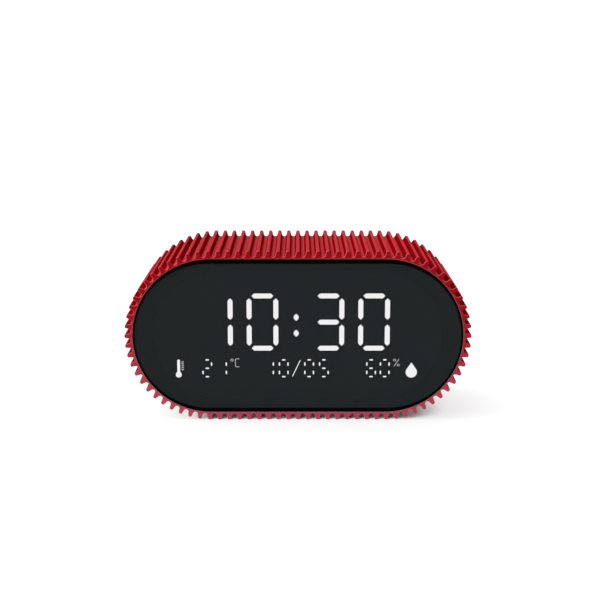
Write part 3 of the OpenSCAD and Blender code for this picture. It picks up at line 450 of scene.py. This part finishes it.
def moulded(name, colours):
    """Moulded plastic with an etched grain, faint clouding and rubbed edges."""
    source, roughness, grain, depth, wear, gloss = PLASTICS[name]
    tint = getattr(colours, source)
    f = Finish(name)
    cloud = f.noise(0.02, 4.0)
    fine = f.noise(grain, 3.0, 0.65)
    edge_wear_and_highlight = f.edges(0.0004) * (f.noise(0.004, 3.0) * wear)
    tone = f.mix(cloud, shade(tint, 0.8), shade(tint, 1.2))
    tone = f.mix(edge_wear_and_highlight, tone, shade(tint, 4.0))
    return f.done(
        Base_Color=tone,
        Roughness=roughness + fine * 0.12 - edge_wear_and_highlight * 0.15,
        Normal=f.bump(fine, depth),
        Specular_IOR_Level=gloss,
    )


def metal(name, tint, roughness, along=(1.0, 1.0, 1.0)):
    """Plated metal with fine drawn lines, and duller patches from handling."""
    f = Finish(name)
    lines = f.noise(0.0004, 3.0, 0.7, f.stretch(along))
    patch = f.noise(0.005, 4.0)
    return f.done(
        Base_Color=f.mix(f.ramp(patch, 0.4, 0.8) * 0.5, tint, shade(tint, 0.7)),
        Metallic=1.0,
        Roughness=roughness + lines * 0.12 + patch * 0.1,
        Normal=f.bump(lines, 0.000004),
    )


def smoked_lens(colours):
    """Dark tinted window, let through evenly, with a faint haze of fine wiping marks."""
    f = Finish("lens_smoke")
    haze = f.noise(0.03, 4.0)
    wipe = f.noise(0.0007, 2.0, 0.5, f.stretch((0.15, 1.0, 1.0)))
    return f.done(
        Base_Color=f.mix(haze, shade(colours.lens_smoke, 0.98), shade(colours.lens_smoke, 1.02)),
        Roughness=0.5 + wipe * 0.01,
        Alpha=0.7,
        Specular_IOR_Level=0.04,
    )


def light_pipe(name, tint, strength):
    """Frosted light pipe, a little uneven, that lets its light out at the front alone."""
    f = Finish(name)
    frost = f.noise(0.0006, 3.0)
    _, depth, _ = f.axes(f.facing())
    glow = f.mix(frost, shade(tint, 0.97), tint)
    return f.done(
        Base_Color=f.mix(frost, shade(tint, 0.75), shade(tint, 0.8)),
        Roughness=0.5 + frost * 0.1,
        Emission_Color=f.mix(depth < -0.5, (0.0, 0.0, 0.0), glow),
        Emission_Strength=strength,
        Normal=f.bump(frost, 0.00001),
    )


def solder_mask(colours):
    """Board with copper tracks under its green mask, and fine glass weave."""
    f = Finish("board_mask")
    x, _, z = f.axes()
    cells = f.noise(0.006, 1.0)
    upright = f.stripes(x + cells * 0.004, 0.0024, 0.0007, 0.0008)
    level = f.stripes(z + cells * 0.004, 0.0036, 0.0013, 0.0014)
    copper = f.ramp(upright * (cells > 0.5) + level * (cells < 0.46), 0.4, 0.6)
    weave = f.noise(0.0005, 2.0, 0.5, f.stretch((3.0, 3.0, 1.0)))
    tone = f.mix(copper, colours.board_green, shade(colours.board_green, 1.7))
    return f.done(
        Base_Color=f.mix(weave * 0.2, tone, shade(colours.board_green, 0.6)),
        Roughness=0.32 + weave * 0.1,
        Normal=f.bump(copper + weave * 0.2, 0.00003),
    )


def cell_wrap(colours):
    """Wrap of a battery cell, with a bright band and bare metal at its ends."""
    f = Finish("cell_wrap")
    x, _, z = f.axes()
    low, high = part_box("battery_cells")
    upper = z > (low.z + high.z) / 2
    along = x * (upper * 2 - 1)
    reach = (high.x - low.x) / 2
    band = f.ramp(along, reach * 0.52, reach * 0.54)
    bare = f.ramp(abs(x), reach * 0.968, reach * 0.972)
    scuff = f.ramp(f.noise(0.002, 5.0, 0.7), 0.58, 0.75)
    tone = f.mix(band, colours.cell_wrap, colours.cell_band)
    tone = f.mix(scuff * 0.2, tone, colours.cell_scuff)
    return f.done(
        Base_Color=f.mix(bare, tone, colours.steel),
        Metallic=bare,
        Roughness=0.3 + scuff * 0.2,
        Normal=f.bump(scuff, 0.00001),
    )


def contact_tongue(colours):
    """Inlet's tongue with a row of gilt contacts."""
    f = Finish("inlet_tongue")
    x, _, _ = f.axes()
    pad = f.stripes(x, 0.0008, 0.0002, 0.00024)
    grit = f.noise(0.0003)
    return f.done(
        Base_Color=f.mix(pad, shade(colours.cover_black, 1.2), colours.gilt),
        Metallic=pad,
        Roughness=0.4 + grit * 0.15,
        Normal=f.bump(pad, 0.00003),
    )


def open_foam(name, tint):
    """Open-celled foam."""
    f = Finish(name)
    place = {"Vector": f.spot(), "Scale": 2500.0}
    pore = f.node("ShaderNodeTexVoronoi", None, place, out="Distance")
    return f.done(
        Base_Color=f.mix(pore, shade(tint, 0.5), shade(tint, 1.5)),
        Roughness=0.9 - pore * 0.1,
        Normal=f.bump(pore, 0.0001),
    )


def paper_pulp(name, tint):
    """Pressed paper with short fibres."""
    f = Finish(name)
    fibre = f.noise(0.0008, 5.0, 0.75, f.stretch((1.0, 1.0, 3.0)))
    return f.done(
        Base_Color=f.mix(fibre, shade(tint, 0.6), shade(tint, 1.5)),
        Roughness=0.75 + fibre * 0.15,
        Normal=f.bump(fibre, 0.00008),
    )


def two_leads(colours):
    """Insulation of a pair of leads, each in its own colour."""
    f = Finish("lead_insulation")
    smear = f.noise(0.003, 3.0)
    tone = f.mix(f.drawn("lead"), colours.lead_red, colours.lead_black)
    return f.done(
        Base_Color=f.mix(smear * 0.15, tone, colours.lead_smear),
        Roughness=0.4 + smear * 0.15,
        Normal=f.bump(smear, 0.00002),
    )


def flat_cable_film(colours):
    """Film of the flat cable over its bright conductors."""
    f = Finish("cable_film")
    x, _, _ = f.axes()
    wire = f.stripes(x, 0.001, 0.00022, 0.0003)
    haze = f.noise(0.002)
    return f.done(
        Base_Color=f.mix(wire, shade(colours.film_white, 0.9), colours.wire_grey),
        Roughness=0.35 + haze * 0.1,
        Normal=f.bump(wire, 0.00003),
    )


def floor_white(stage):
    """Glowing floor, white where its view to the light is clear, with a painted shadow round the
    clock.
    """
    f = Finish("floor_white")
    grain = f.noise(0.002, 3.0)
    lean = f.node("ShaderNodeCombineXYZ", None, dict(enumerate(stage.shade_lean)))
    view = f.node(
        "ShaderNodeAmbientOcclusion", {"samples": SHADE_RAYS},
        {"Distance": stage.shade_reach, "Normal": lean}, out="AO",
    )
    # Painted shadow: the glow fades where the clock blocks the floor's view
    white = f.ramp(view, 0.0, stage.core_view) * stage.core_white + view * stage.open_white
    dim, bright = (shade(stage.floor_tint, 1 + way * stage.floor_cloud) for way in (-1, 1))
    # Sampled as a lamp, because the dark lens shows its glow as grain otherwise
    f.owner.cycles.emission_sampling = "FRONT"
    return f.done(
        Base_Color=f.mix(grain, dim, bright),
        Roughness=0.85 + grain * 0.05,
        Specular_IOR_Level=0.1,
        Emission_Color=f.mix(white, (0.0, 0.0, 0.0), (1.0, 1.0, 1.0)),
        Emission_Strength=stage.floor_glow,
    )


# Shapes


def placed(name, data):
    """A new object in the scene."""
    made = bpy.data.objects.new(name, data)
    bpy.context.scene.collection.objects.link(made)
    return made


def piece(name, points, faces, finish, body="clock", slot=None, stands_for=()):
    """A closed mesh in the CAD model's frame that rides on a body."""
    mesh = bpy.data.meshes.new(name)
    mesh.from_pydata([tuple(p) for p in points], [], faces)
    bm = bmesh.new()
    bm.from_mesh(mesh)
    bmesh.ops.recalc_face_normals(bm, faces=bm.faces)
    bm.to_mesh(mesh)
    bm.free()
    if mesh.validate():
        raise ValueError(f"{name} has faulty faces")
    mesh.shade_smooth()
    mesh.materials.append(finish)
    made = placed(name, mesh)
    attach(made, body)
    if stands_for:
        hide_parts(*stands_for)
    return made


def draw_on(made, name, values):
    """Keeps a value on every point of a piece for its finish."""
    made.data.attributes.new(name, "FLOAT", "POINT").data.foreach_set("value", values)


def dress(finish, *nodes):
    """Gives CAD nodes a finish."""
    for name in nodes:
        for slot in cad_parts[name].material_slots:
            slot.material = finish


def ease(width, *nodes):
    """Rounds the edges of CAD nodes by a hair, as a mould does."""
    for name in nodes:
        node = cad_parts[name]
        weld = node.modifiers.new("weld", "WELD")
        weld.merge_threshold = 1e-6
        bevel = node.modifiers.new("ease", "BEVEL")
        bevel.width = width
        bevel.segments = 2
        bevel.limit_method = "ANGLE"
        bevel.angle_limit = math.radians(50)
        bevel.harden_normals = False
        even(node)


def even(made):
    """Normals that keep flat faces flat beside rounded edges."""
    normals = made.modifiers.new("even", "WEIGHTED_NORMAL")
    normals.weight = 100
    normals.keep_sharp = False


def band_faces(loops, count, joined):
    """Quads between successive loops of points, and from the last to the first where joined."""
    pairs = [(k, k + 1) for k in range(loops - 1)] + ([(loops - 1, 0)] if joined else [])
    return [
        (a * count + i, a * count + (i + 1) % count, b * count + (i + 1) % count, b * count + i)
        for a, b in pairs for i in range(count)
    ]


def closed_faces(loops, count):
    """Quads between successive loops of points, and a face over each end."""
    last = (loops - 1) * count
    ends = [tuple(range(count - 1, -1, -1)), tuple(range(last, last + count))]
    return band_faces(loops, count, False) + ends


def shares(steps):
    """Even shares from 0 to 1."""
    return [k / steps for k in range(steps + 1)]


def full_turn(steps):
    """Angles of a full turn."""
    return [2 * math.pi * k / steps for k in range(steps)]


def tube(path, radius, sides):
    """Points and faces of a round tube along a path, closed at both ends."""
    points = []
    path = [Vector(p) for p in path]
    side = None
    for k, spot in enumerate(path):
        ahead = (path[min(k + 1, len(path) - 1)] - path[max(k - 1, 0)]).normalized()
        side = side if side is not None else ahead.orthogonal()
        side = (side - ahead * side.dot(ahead)).normalized()
        other = ahead.cross(side)
        for turn in full_turn(sides):
            points.append(spot + radius * (math.cos(turn) * side + math.sin(turn) * other))
    return points, closed_faces(len(path), sides)


def gather(parts):
    """Several sets of points and faces as one."""
    points, faces = [], []
    for some_points, some_faces in parts:
        faces += [tuple(i + len(points) for i in face) for face in some_faces]
        points += some_points
    return points, faces


def rib_place(run, half_run, radius):
    """Point and outward angle at a distance along the rib line, clockwise from the top middle."""
    arc = math.pi * radius
    # The second half of the line is the first half turned about the middle
    half, run = divmod(run, 2 * half_run + arc)
    if run < half_run:
        x, z, angle = run, radius, math.pi / 2
    elif run < half_run + arc:
        angle = math.pi / 2 - (run - half_run) / radius
        x, z = half_run + radius * math.cos(angle), radius * math.sin(angle)
    else:
        x, z, angle = 2 * half_run + arc - run, -radius, -math.pi / 2
    return ((-x, -z), angle - math.pi) if half else ((x, z), angle)


def rib_outline(sizes, half_run, end_radius):
    """Outline over ribs and valleys: point, outward direction and height on the rib, 0 to 1."""
    h, tip_r, valley_r = sizes.rib_height, sizes.tip_round, sizes.valley_round
    radius = end_radius - h / 2
    pitch = (4 * half_run + 2 * math.pi * radius) / sizes.rib_count
    draft = math.atan2(pitch / 2 - valley_r - sizes.tip_width / 2, h - valley_r - tip_r)
    tip = sizes.tip_width / 2 - tip_r
    quarter, half = math.pi / 2, math.pi
    # Share of the pitch, centre, radius, first and last angle, steps, and 1 on a tip, -1 below
    curves = (
        (0.0, (-tip, h / 2 - tip_r), tip_r, half - draft, quarter, TIP_STEPS, 1),
        (0.0, (tip, h / 2 - tip_r), tip_r, quarter, draft, TIP_STEPS, 1),
        (0.5, (0.0, valley_r - h / 2), valley_r, half + draft, 2 * half - draft, VALLEY_STEPS, -1),
    )
    outline = []
    for i in range(sizes.rib_count):
        for share, centre, r, start, end, steps, way in curves:
            (px, pz), angle = rib_place((i + share) * pitch, half_run, radius)
            c, s = math.cos(angle), math.sin(angle)
            for along in shares(steps):
                turn = start + (end - start) * along
                across, out = math.cos(turn), math.sin(turn)
                a, o = centre[0] + r * across, centre[1] + r * out
                outline.append((
                    (px + a * s + o * c, pz - a * c + o * s),
                    (way * (across * s + out * c), way * (out * s - across * c)),
                    (o + h / 2) / h,
                ))
    return outline


def onto_stadium(point, half_run, radius):
    """Nearest point of a stadium outline with that end radius."""
    x, z = point
    if abs(x) <= half_run:
        return x, math.copysign(radius, z)
    centre = math.copysign(half_run, x)
    reach = math.hypot(x - centre, z)
    return centre + (x - centre) * radius / reach, z * radius / reach


def rounded(r):
    """Steps of a quarter round: sunk in, run along, and 1 between its two ends."""
    for share in shares(EDGE_STEPS):
        turn = math.pi / 2 * share
        yield r * (1 - math.sin(turn)), r * (1 - math.cos(turn)), float(0 < share < 1)


def sleeve_mesh(sizes):
    """The sleeve as one closed skin: ribs, rounded cut ends, seats at both ends, inner wall."""
    end_radius = (SLEEVE_HIGH.z - SLEEVE_LOW.z) / 2
    half_run = (SLEEVE_HIGH.x - SLEEVE_LOW.x) / 2 - end_radius
    outline = rib_outline(sizes, half_run, end_radius)
    front, back = SLEEVE_LOW.y, SLEEVE_HIGH.y

    def outer(sunk, depth, edge):
        cut = float(sunk == sizes.end_round)
        return [
            ((p[0] - n[0] * sunk, depth, MIDDLE_Z + p[1] - n[1] * sunk), rise, edge, cut)
            for p, n, rise in outline
        ]

    def inner(inset, depth, edge=0.0):
        spots = (onto_stadium(p, half_run, end_radius - inset) for p, _, _ in outline)
        return [((x, depth, MIDDLE_Z + z), 0.0, edge, 1.0) for x, z in spots]

    loops = []
    for depth, way in ((front, 1), (back, -1)):
        end = [outer(sunk, depth + way * run, edge) for sunk, run, edge in rounded(sizes.end_round)]
        # The rounded lip carries the painted highlight, which fades out over a lip width of the
        # face
        lip = [inner(sizes.seat_inset - sizes.lip_width, depth)] + [
            inner(sizes.seat_inset - sunk, depth + way * run, 1.0)
            for sunk, run, _ in rounded(sizes.lip_round)
        ]
        seat = depth + way * sizes.seat_depth
        section = end[::-1] + lip + [inner(sizes.seat_inset, seat), inner(sizes.wall_inset, seat)]
        loops += section if way > 0 else section[::-1]
    points, *drawn = zip(*(spot for loop in loops for spot in loop))
    faces = band_faces(len(loops), len(outline), True)
    return points, faces, dict(zip(("rib_rise", "rib_edge", "rib_cut"), drawn))


def disc(centre, r, steps=DISC_STEPS):
    """Round outline."""
    x, z = centre
    return [(x + r * math.cos(turn), z + r * math.sin(turn)) for turn in full_turn(steps)]


def plate(outlines, back, front):
    """Thin plates with these outlines across and up, seen from behind the clock."""
    parts = []
    for outline in outlines:
        n = len(outline)
        points = [(x, y, z) for y in (back, front) for x, z in outline]
        faces = band_faces(2, n, False) + [tuple(range(n)), tuple(range(2 * n - 1, n - 1, -1))]
        parts.append((points, faces))
    return gather(parts)


def ring_plate(centre, size, shares, back, front):
    """Thin flat ring, whose outer and inner radius are shares of a size."""
    outer, inner = (size * share for share in shares)
    loops = [
        [(x, y, z) for x, z in disc(centre, r, RING_STEPS)]
        for r, y in ((outer, back), (outer, front), (inner, front), (inner, back))
    ]
    return [p for loop in loops for p in loop], band_faces(len(loops), RING_STEPS, True)


def turned(points, turn):
    """Points turned about their origin."""
    c, s = math.cos(turn), math.sin(turn)
    return [(x * c - z * s, x * s + z * c) for x, z in points]


def mark_parts(kind, centre, size, back, front):
    """Generic sign of a control: dot in a ring, bare ring, bell, arrow up or down, or sun."""
    x, z = centre

    def at(points):
        return [(x + across * size, z + up * size) for across, up in points]

    if kind == "set":
        ring = ring_plate(centre, size, SET_RING, back, front)
        return gather([ring, plate([disc(centre, size * SET_DOT)], back, front)])
    if kind == "off":
        return ring_plate(centre, size, OFF_RING, back, front)
    if kind in ARROWS:
        return plate([at(ARROWS[kind])], back, front)
    if kind == "light":
        rays = [at(turned(SUN_RAY, turn)) for turn in full_turn(SUN_RAYS)]
        return plate([disc(centre, size * SUN_DISC), *rays], back, front)
    turns = [math.pi * share for share in shares(DOME_STEPS)]
    dome = [(BELL_DOME * math.cos(t), BELL_SHOULDER + BELL_DOME * math.sin(t)) for t in turns]
    clapper = disc((x, z - CLAPPER_DROP * size), size * CLAPPER, CLAPPER_STEPS)
    return plate([at([*dome, *BELL_SKIRT]), clapper], back, front)


def mark(name, kind, centre, size, level, ink, sizes, body="clock"):
    """A sign on a control, sunk a little into what carries it."""
    back, front = level - sizes.mark_sunk, level + sizes.mark_raised
    points, faces = mark_parts(kind, centre, size, back, front)
    piece(name, points, faces, ink, body=body, slot="segment_white")


def sweep_ring(centre, section, steps):
    """Turns a closed half section of (radius, depth) points about the depth axis."""
    points = [
        (centre.x + r * math.cos(turn), y, centre.z + r * math.sin(turn))
        for turn in full_turn(steps) for r, y in section
    ]
    return points, band_faces(steps, len(section), True)


def round_bar(low, high, r):
    """Rectangle section with rounded corners, from its lowest to its highest corner."""
    left, right, under, over = low[0] + r, high[0] - r, low[1] + r, high[1] - r
    corners = ((right, over), (left, over), (left, under), (right, under))
    section = []
    for quarter, (x, y) in enumerate(corners):
        for share in shares(EDGE_STEPS):
            turn = math.pi / 2 * (quarter + share)
            section.append((x + r * math.cos(turn), y + r * math.sin(turn)))
    return section


def gasket_ring(sizes):
    """Round gasket between the speaker's rim and the cover."""
    low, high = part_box("speaker_gasket")
    outer = (high.x - low.x) / 2
    section = round_bar((outer - sizes.gasket_width, low.y), (outer, high.y), sizes.gasket_round)
    return sweep_ring((low + high) / 2, section, GASKET_STEPS)


def contact_coils(sizes):
    """Two springs, one at each end of the cells, that narrow from the contact to the cell."""
    low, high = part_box("battery_springs")
    wire = sizes.spring_wire
    wide = (high.y - low.y) / 2 - wire
    seats = ((low.x + wire, high.z - wide - wire, 1), (high.x - wire, low.z + wide + wire, -1))
    parts = []
    for x, z, way in seats:
        path = []
        for share in shares(int(sizes.spring_turns * COIL_STEPS)):
            turn = 2 * math.pi * sizes.spring_turns * share
            r = wide + (sizes.spring_tip - wide) * share
            path.append((
                x + way * sizes.spring_run * share,
                (low.y + high.y) / 2 + r * math.sin(turn),
                z + r * math.cos(turn),
            ))
        parts.append(tube(path, wire, WIRE_SIDES))
    return gather(parts)


def flat_cable(sizes):
    """Thin film in the S of the CAD piece, with a low ridge over each conductor."""
    low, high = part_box("display_cable")
    half = sizes.film_thickness / 2
    upper = []
    for share in shares(CONDUCTORS * RIDGE_POINTS):
        rise = FILM_DIP + (1 - FILM_DIP) * abs(math.sin(math.pi * CONDUCTORS * share))
        upper.append((low.x + (high.x - low.x) * share, half * rise))
    section = upper + [(x, -t) for x, t in reversed(upper)]
    points = []
    for share in shares(CABLE_STEPS):
        sunk = (1 - math.cos(math.pi * share)) / 2
        z = high.z - half + (low.z - high.z + sizes.film_thickness) * sunk
        y = high.y + (low.y - high.y) * share
        points += [(x, y, z + t) for x, t in section]
    return points, closed_faces(CABLE_STEPS + 1, len(section))


def solder_spot(sizes, x):
    """Point on the front of the main board where a lead is soldered."""
    low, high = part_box("tact_switches")
    return Vector((x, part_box("main_board")[0].y, (low.z + high.z) / 2 - sizes.lead_drop))


def speaker_routes(sizes):
    """Ends of the speaker's leads, from its rim to the main board."""
    low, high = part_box("speaker_basket")
    middle = (low + high) / 2
    for shift in SPEAKER_LEADS:
        x = middle.x + shift
        z = middle.z + math.sqrt(sizes.rim_radius ** 2 - shift ** 2)
        yield Vector((x, high.y - sizes.rim_thickness, z)), solder_spot(sizes, x)


def battery_routes(sizes):
    """Ends of the battery's leads, from the tails of its contacts to the main board."""
    low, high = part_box("battery_contacts")
    x, half = low.x + sizes.contact_thickness / 2, sizes.contact_width / 2
    for z, shift in zip((high.z - half, low.z + half), BATTERY_LEADS):
        yield Vector((x, low.y, z)), solder_spot(sizes, x + shift)


def over_and_down(start, end, radius):
    """Path of a lead that rises to the front, turns over and comes down on the board."""
    half = (end - start) / 2
    half.y = 0
    top = (start + end) / 2
    top.y = min(start.y, end.y) - radius
    path = [start]
    for share in shares(LEAD_STEPS):
        turn = math.pi * share
        bulge = Vector((0, half.length * math.sin(turn), 0))
        path.append(top - half * math.cos(turn) - bulge)
    return path + [end]


def leads(node, routes, radius, finish):
    """A pair of round leads in place of a CAD pair."""
    parts = [tube(over_and_down(*ends, radius), radius, LEAD_SIDES) for ends in routes]
    made = piece(f"{node}_wire", *gather(parts), finish, slot="lead_red", stands_for=(node,))
    draw_on(made, "lead", [float(k) for k, part in enumerate(parts) for _ in part[0]])


# Operators


def chosen(context):
    """The colours and sizes set in the scene."""
    return context.scene.clock_colours, context.scene.clock_sizes


class CLOCK_OT_sleeve(bpy.types.Operator):
    """Ribbed silicone sleeve over the housing"""

    bl_idname = "clock.sleeve"
    bl_label = "Ribbed sleeve"

    def execute(self, context):
        colours, sizes = chosen(context)
        points, faces, drawn = sleeve_mesh(sizes)
        made = piece(
            "silicone_sleeve", points, faces, silicone(colours),
            slot="sleeve_rubber", stands_for=("ribbed_sleeve",),
        )
        for name, values in drawn.items():
            draw_on(made, name, values)
        even(made)
        return {"FINISHED"}


class CLOCK_OT_front(bpy.types.Operator):
    """Housing with the front ring, the smoked lens and its tape"""

    bl_idname = "clock.front"
    bl_label = "Ring and lens"

    def execute(self, context):
        colours = context.scene.clock_colours
        dress(moulded("ring_black", colours), "front_housing")
        dress(smoked_lens(colours), "display_lens")
        dress(open_foam("tape_foam", colours.tape_black), "lens_tape")
        return {"FINISHED"}


class CLOCK_OT_display(bpy.types.Operator):
    """Light block, lit and dark bars, display board and its flat cable"""

    bl_idname = "clock.display"
    bl_label = "Display"

    def execute(self, context):
        colours, sizes = chosen(context)
        dress(moulded("block_black", colours), "display_face")
        dress(light_pipe("segment_lit", colours.segment_white, colours.bar_glow), *LIT_NODES)
        dress(light_pipe("sign_lit", colours.segment_white, colours.sign_glow), "unit_signs")
        dress(moulded("segment_dark", colours), "unlit_segments")
        dress(solder_mask(colours), "display_board", "main_board")
        dress(metal("screw_zinc", colours.steel, roughness=0.28), "display_screws", "board_screws")
        dress(moulded("socket_nylon", colours), "cable_sockets")
        piece(
            "flat_cable", *flat_cable(sizes), flat_cable_film(colours),
            slot="cable_white", stands_for=("display_cable",),
        )
        return {"FINISHED"}


class CLOCK_OT_rear_cover(bpy.types.Operator):
    """Rear cover with its grille, slots and screws"""

    bl_idname = "clock.rear_cover"
    bl_label = "Rear cover"

    def execute(self, context):
        colours, sizes = chosen(context)
        dress(moulded("cover_black", colours), "rear_cover")
        dress(metal("screw_black", colours.screw_black, roughness=0.35), "cover_screws")
        ease(sizes.edge_round, "rear_cover", "cover_screws")
        return {"FINISHED"}


class CLOCK_OT_buttons(bpy.types.Operator):
    """Five rear buttons with their marks, plungers and switches"""

    bl_idname = "clock.buttons"
    bl_label = "Rear buttons"

    def execute(self, context):
        colours, sizes = chosen(context)
        buttons = [f"{key}_button" for key in KEYS]
        dress(moulded("key_satin", colours), *buttons)
        dress(moulded("plunger_grey", colours), *(f"{key}_plunger" for key in KEYS))
        dress(moulded("switch_black", colours), "tact_switches")
        ease(sizes.edge_round, *buttons)
        ink = moulded("mark_ink", colours)
        for key in KEYS:
            low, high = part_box(f"{key}_button")
            centre = ((low.x + high.x) / 2, (low.z + high.z) / 2)
            mark(f"{key}_mark", key, centre, sizes.mark_size, high.y, ink, sizes, f"{key}_key")
        return {"FINISHED"}


class CLOCK_OT_alarm_switch(bpy.types.Operator):
    """Slide switch that arms the alarm, with its two marks"""

    bl_idname = "clock.alarm_switch"
    bl_label = "Alarm switch"

    def execute(self, context):
        colours, sizes = chosen(context)
        dress(moulded("knob_grey", colours), "alarm_switch_knob")
        dress(metal("case_nickel", colours.steel, roughness=0.25), "alarm_switch_case")
        ease(sizes.edge_round, "alarm_switch_knob")
        low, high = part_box("alarm_switch_case")
        x, z = (low.x + high.x) / 2, (low.z + high.z) / 2
        ink = moulded("switch_ink", colours)
        size, level = sizes.switch_mark_size, sizes.switch_floor
        for kind, side in (("off", -1), ("alarm", 1)):
            centre = (x + side * sizes.switch_mark_shift, z)
            mark(f"switch_{kind}_mark", kind, centre, size, level, ink, sizes)
        return {"FINISHED"}


class CLOCK_OT_power_inlet(bpy.types.Operator):
    """Power inlet: drawn shell and contact tongue"""

    bl_idname = "clock.power_inlet"
    bl_label = "Power inlet"

    def execute(self, context):
        colours, sizes = chosen(context)
        drawn = metal("inlet_nickel", colours.steel, roughness=0.2, along=(1.0, 6.0, 1.0))
        dress(drawn, "usb_shell")
        ease(sizes.edge_round / 2, "usb_shell")
        dress(contact_tongue(colours), "usb_tongue")
        return {"FINISHED"}


class CLOCK_OT_electronics(bpy.types.Operator):
    """Chips, crystal and sensor on the main board"""

    bl_idname = "clock.electronics"
    bl_label = "Electronics"

    def execute(self, context):
        colours = context.scene.clock_colours
        dress(moulded("chip_epoxy", colours), "clock_chip", "climate_sensor")
        can = metal("crystal_can", colours.steel, roughness=0.22, along=(1.0, 1.0, 5.0))
        dress(can, "timing_crystal")
        return {"FINISHED"}


class CLOCK_OT_speaker(bpy.types.Operator):
    """Small speaker behind the grille, with its gasket and leads"""

    bl_idname = "clock.speaker"
    bl_label = "Speaker"

    def execute(self, context):
        colours, sizes = chosen(context)
        dress(metal("basket_steel", shade(colours.steel, 0.8), roughness=0.35), "speaker_basket")
        dress(moulded("magnet_ferrite", colours), "speaker_magnet")
        dress(paper_pulp("cone_paper", colours.cone_black), "speaker_cone")
        leads("speaker_leads", speaker_routes(sizes), sizes.lead_radius, two_leads(colours))
        piece(
            "gasket_ring", *gasket_ring(sizes), open_foam("gasket_foam", colours.foam_black),
            slot="gasket_foam", stands_for=("speaker_gasket",),
        )
        return {"FINISHED"}


class CLOCK_OT_battery(bpy.types.Operator):
    """Battery door, cells, coiled springs, contacts and leads"""

    bl_idname = "clock.battery"
    bl_label = "Battery"

    def execute(self, context):
        colours, sizes = chosen(context)
        dress(moulded("door_black", colours), "battery_door")
        ease(sizes.edge_round, "battery_door")
        dress(cell_wrap(colours), "battery_cells")
        plated = metal("contact_nickel", colours.steel, roughness=0.22)
        dress(plated, "battery_contacts")
        piece(
            "contact_coils", *contact_coils(sizes), plated,
            slot="steel", stands_for=("battery_springs",),
        )
        leads("battery_leads", battery_routes(sizes), sizes.lead_radius, two_leads(colours))
        return {"FINISHED"}


class CLOCK_OT_stage(bpy.types.Operator):
    """White floor and surround, soft light from the left, and the camera"""

    bl_idname = "clock.stage"
    bl_label = "Stage"

    def execute(self, context):
        scene = context.scene
        stage = scene.clock_stage
        scene.world = self.surround(stage)
        self.lamp(stage)
        self.floor(stage)
        scene.camera = self.camera(stage)
        scene.view_settings.view_transform = "Standard"
        return {"FINISHED"}

    def floor(self, stage):
        """A thin slab, which hides the surround below it from the shade's rays."""
        half = stage.floor_size / 2
        corners = ((-half, -half), (half, -half), (half, half), (-half, half))
        points = [(x, y, z) for z in (0, -stage.floor_depth) for x, y in corners]
        walls = [(k, k + 4, (k + 1) % 4 + 4, (k + 1) % 4) for k in range(4)]
        mesh = bpy.data.meshes.new("floor")
        mesh.from_pydata(points, [], [(0, 1, 2, 3), (7, 6, 5, 4)] + walls)
        mesh.materials.append(floor_white(stage))
        placed("floor", mesh)

    def surround(self, stage):
        """White all round, dimmer above the horizon in front."""
        f = Surround(bpy.data.worlds.new("surround"))
        across, depth, height = f.axes(f.node("ShaderNodeTexCoord", out="Generated"))
        dim = stage.front_sky / stage.sky
        ahead = 1 - f.ramp(depth - across * DIM_TURN, DIM_FULL, DIM_NONE)
        above = f.ramp(height, HORIZON_LOW, HORIZON_HIGH)
        tone = f.mix(ahead * above, (1.0, 1.0, 1.0), (dim, dim, dim))
        return f.done(Color=tone, Strength=stage.sky)

    def lamp(self, stage):
        """Wide soft light from the upper left."""
        lamp = bpy.data.lights.new("soft_key", "SUN")
        lamp.energy, lamp.angle = stage.key_strength, stage.key_spread
        turn = Vector(stage.key_from).to_track_quat("Z", "Y")
        placed("soft_key", lamp).rotation_euler = turn.to_euler()

    def camera(self, stage):
        """Long lens in front of the clock and a little above it."""
        lens = bpy.data.cameras.new("eye")
        lens.lens = stage.focal
        lens.sensor_width = 36
        lens.clip_start, lens.clip_end = 0.01, 50
        made = placed("eye", lens)
        made.location = (0, -stage.eye_distance, stage.eye_height)
        face = Vector((0, CAD_BOX[0].y, MIDDLE_Z))
        aim = face - made.location
        pitch = math.atan2(aim.z, math.hypot(aim.x, aim.y)) + stage.tilt
        made.rotation_euler = (math.pi / 2 + pitch, 0, -stage.pan)
        return made


class CLOCK_PT_sidebar(bpy.types.Panel):
    """Settings of the clock and the operators that build it"""

    bl_idname = "CLOCK_PT_sidebar"
    bl_label = "Alarm clock"
    bl_space_type = "VIEW_3D"
    bl_region_type = "UI"
    bl_category = "Clock"

    def draw(self, context):
        for operator in OPERATORS:
            self.layout.operator(operator.bl_idname)
        for group in (*chosen(context), context.scene.clock_stage):
            box = self.layout.box()
            for name in group.bl_rna.properties.keys():
                if name not in ("rna_type", "name"):
                    box.prop(group, name)


GROUPS = {"clock_sizes": ClockSizes, "clock_colours": ClockColours, "clock_stage": ClockStage}
OPERATORS = (
    CLOCK_OT_sleeve, CLOCK_OT_front, CLOCK_OT_display, CLOCK_OT_rear_cover, CLOCK_OT_buttons,
    CLOCK_OT_alarm_switch, CLOCK_OT_power_inlet, CLOCK_OT_electronics, CLOCK_OT_speaker,
    CLOCK_OT_battery, CLOCK_OT_stage,
)


def register():
    for cls in (*GROUPS.values(), *OPERATORS, CLOCK_PT_sidebar):
        bpy.utils.register_class(cls)
    for name, cls in GROUPS.items():
        setattr(bpy.types.Scene, name, bpy.props.PointerProperty(type=cls))


def unregister():
    for name in GROUPS:
        delattr(bpy.types.Scene, name)
    for cls in (CLOCK_PT_sidebar, *reversed(OPERATORS), *reversed(GROUPS.values())):
        bpy.utils.unregister_class(cls)


def main():
    """Builds every piece and the stage."""
    register()
    for operator in OPERATORS:
        group, name = operator.bl_idname.split(".")
        getattr(getattr(bpy.ops, group), name)()


if __name__ == "__main__":
    main()
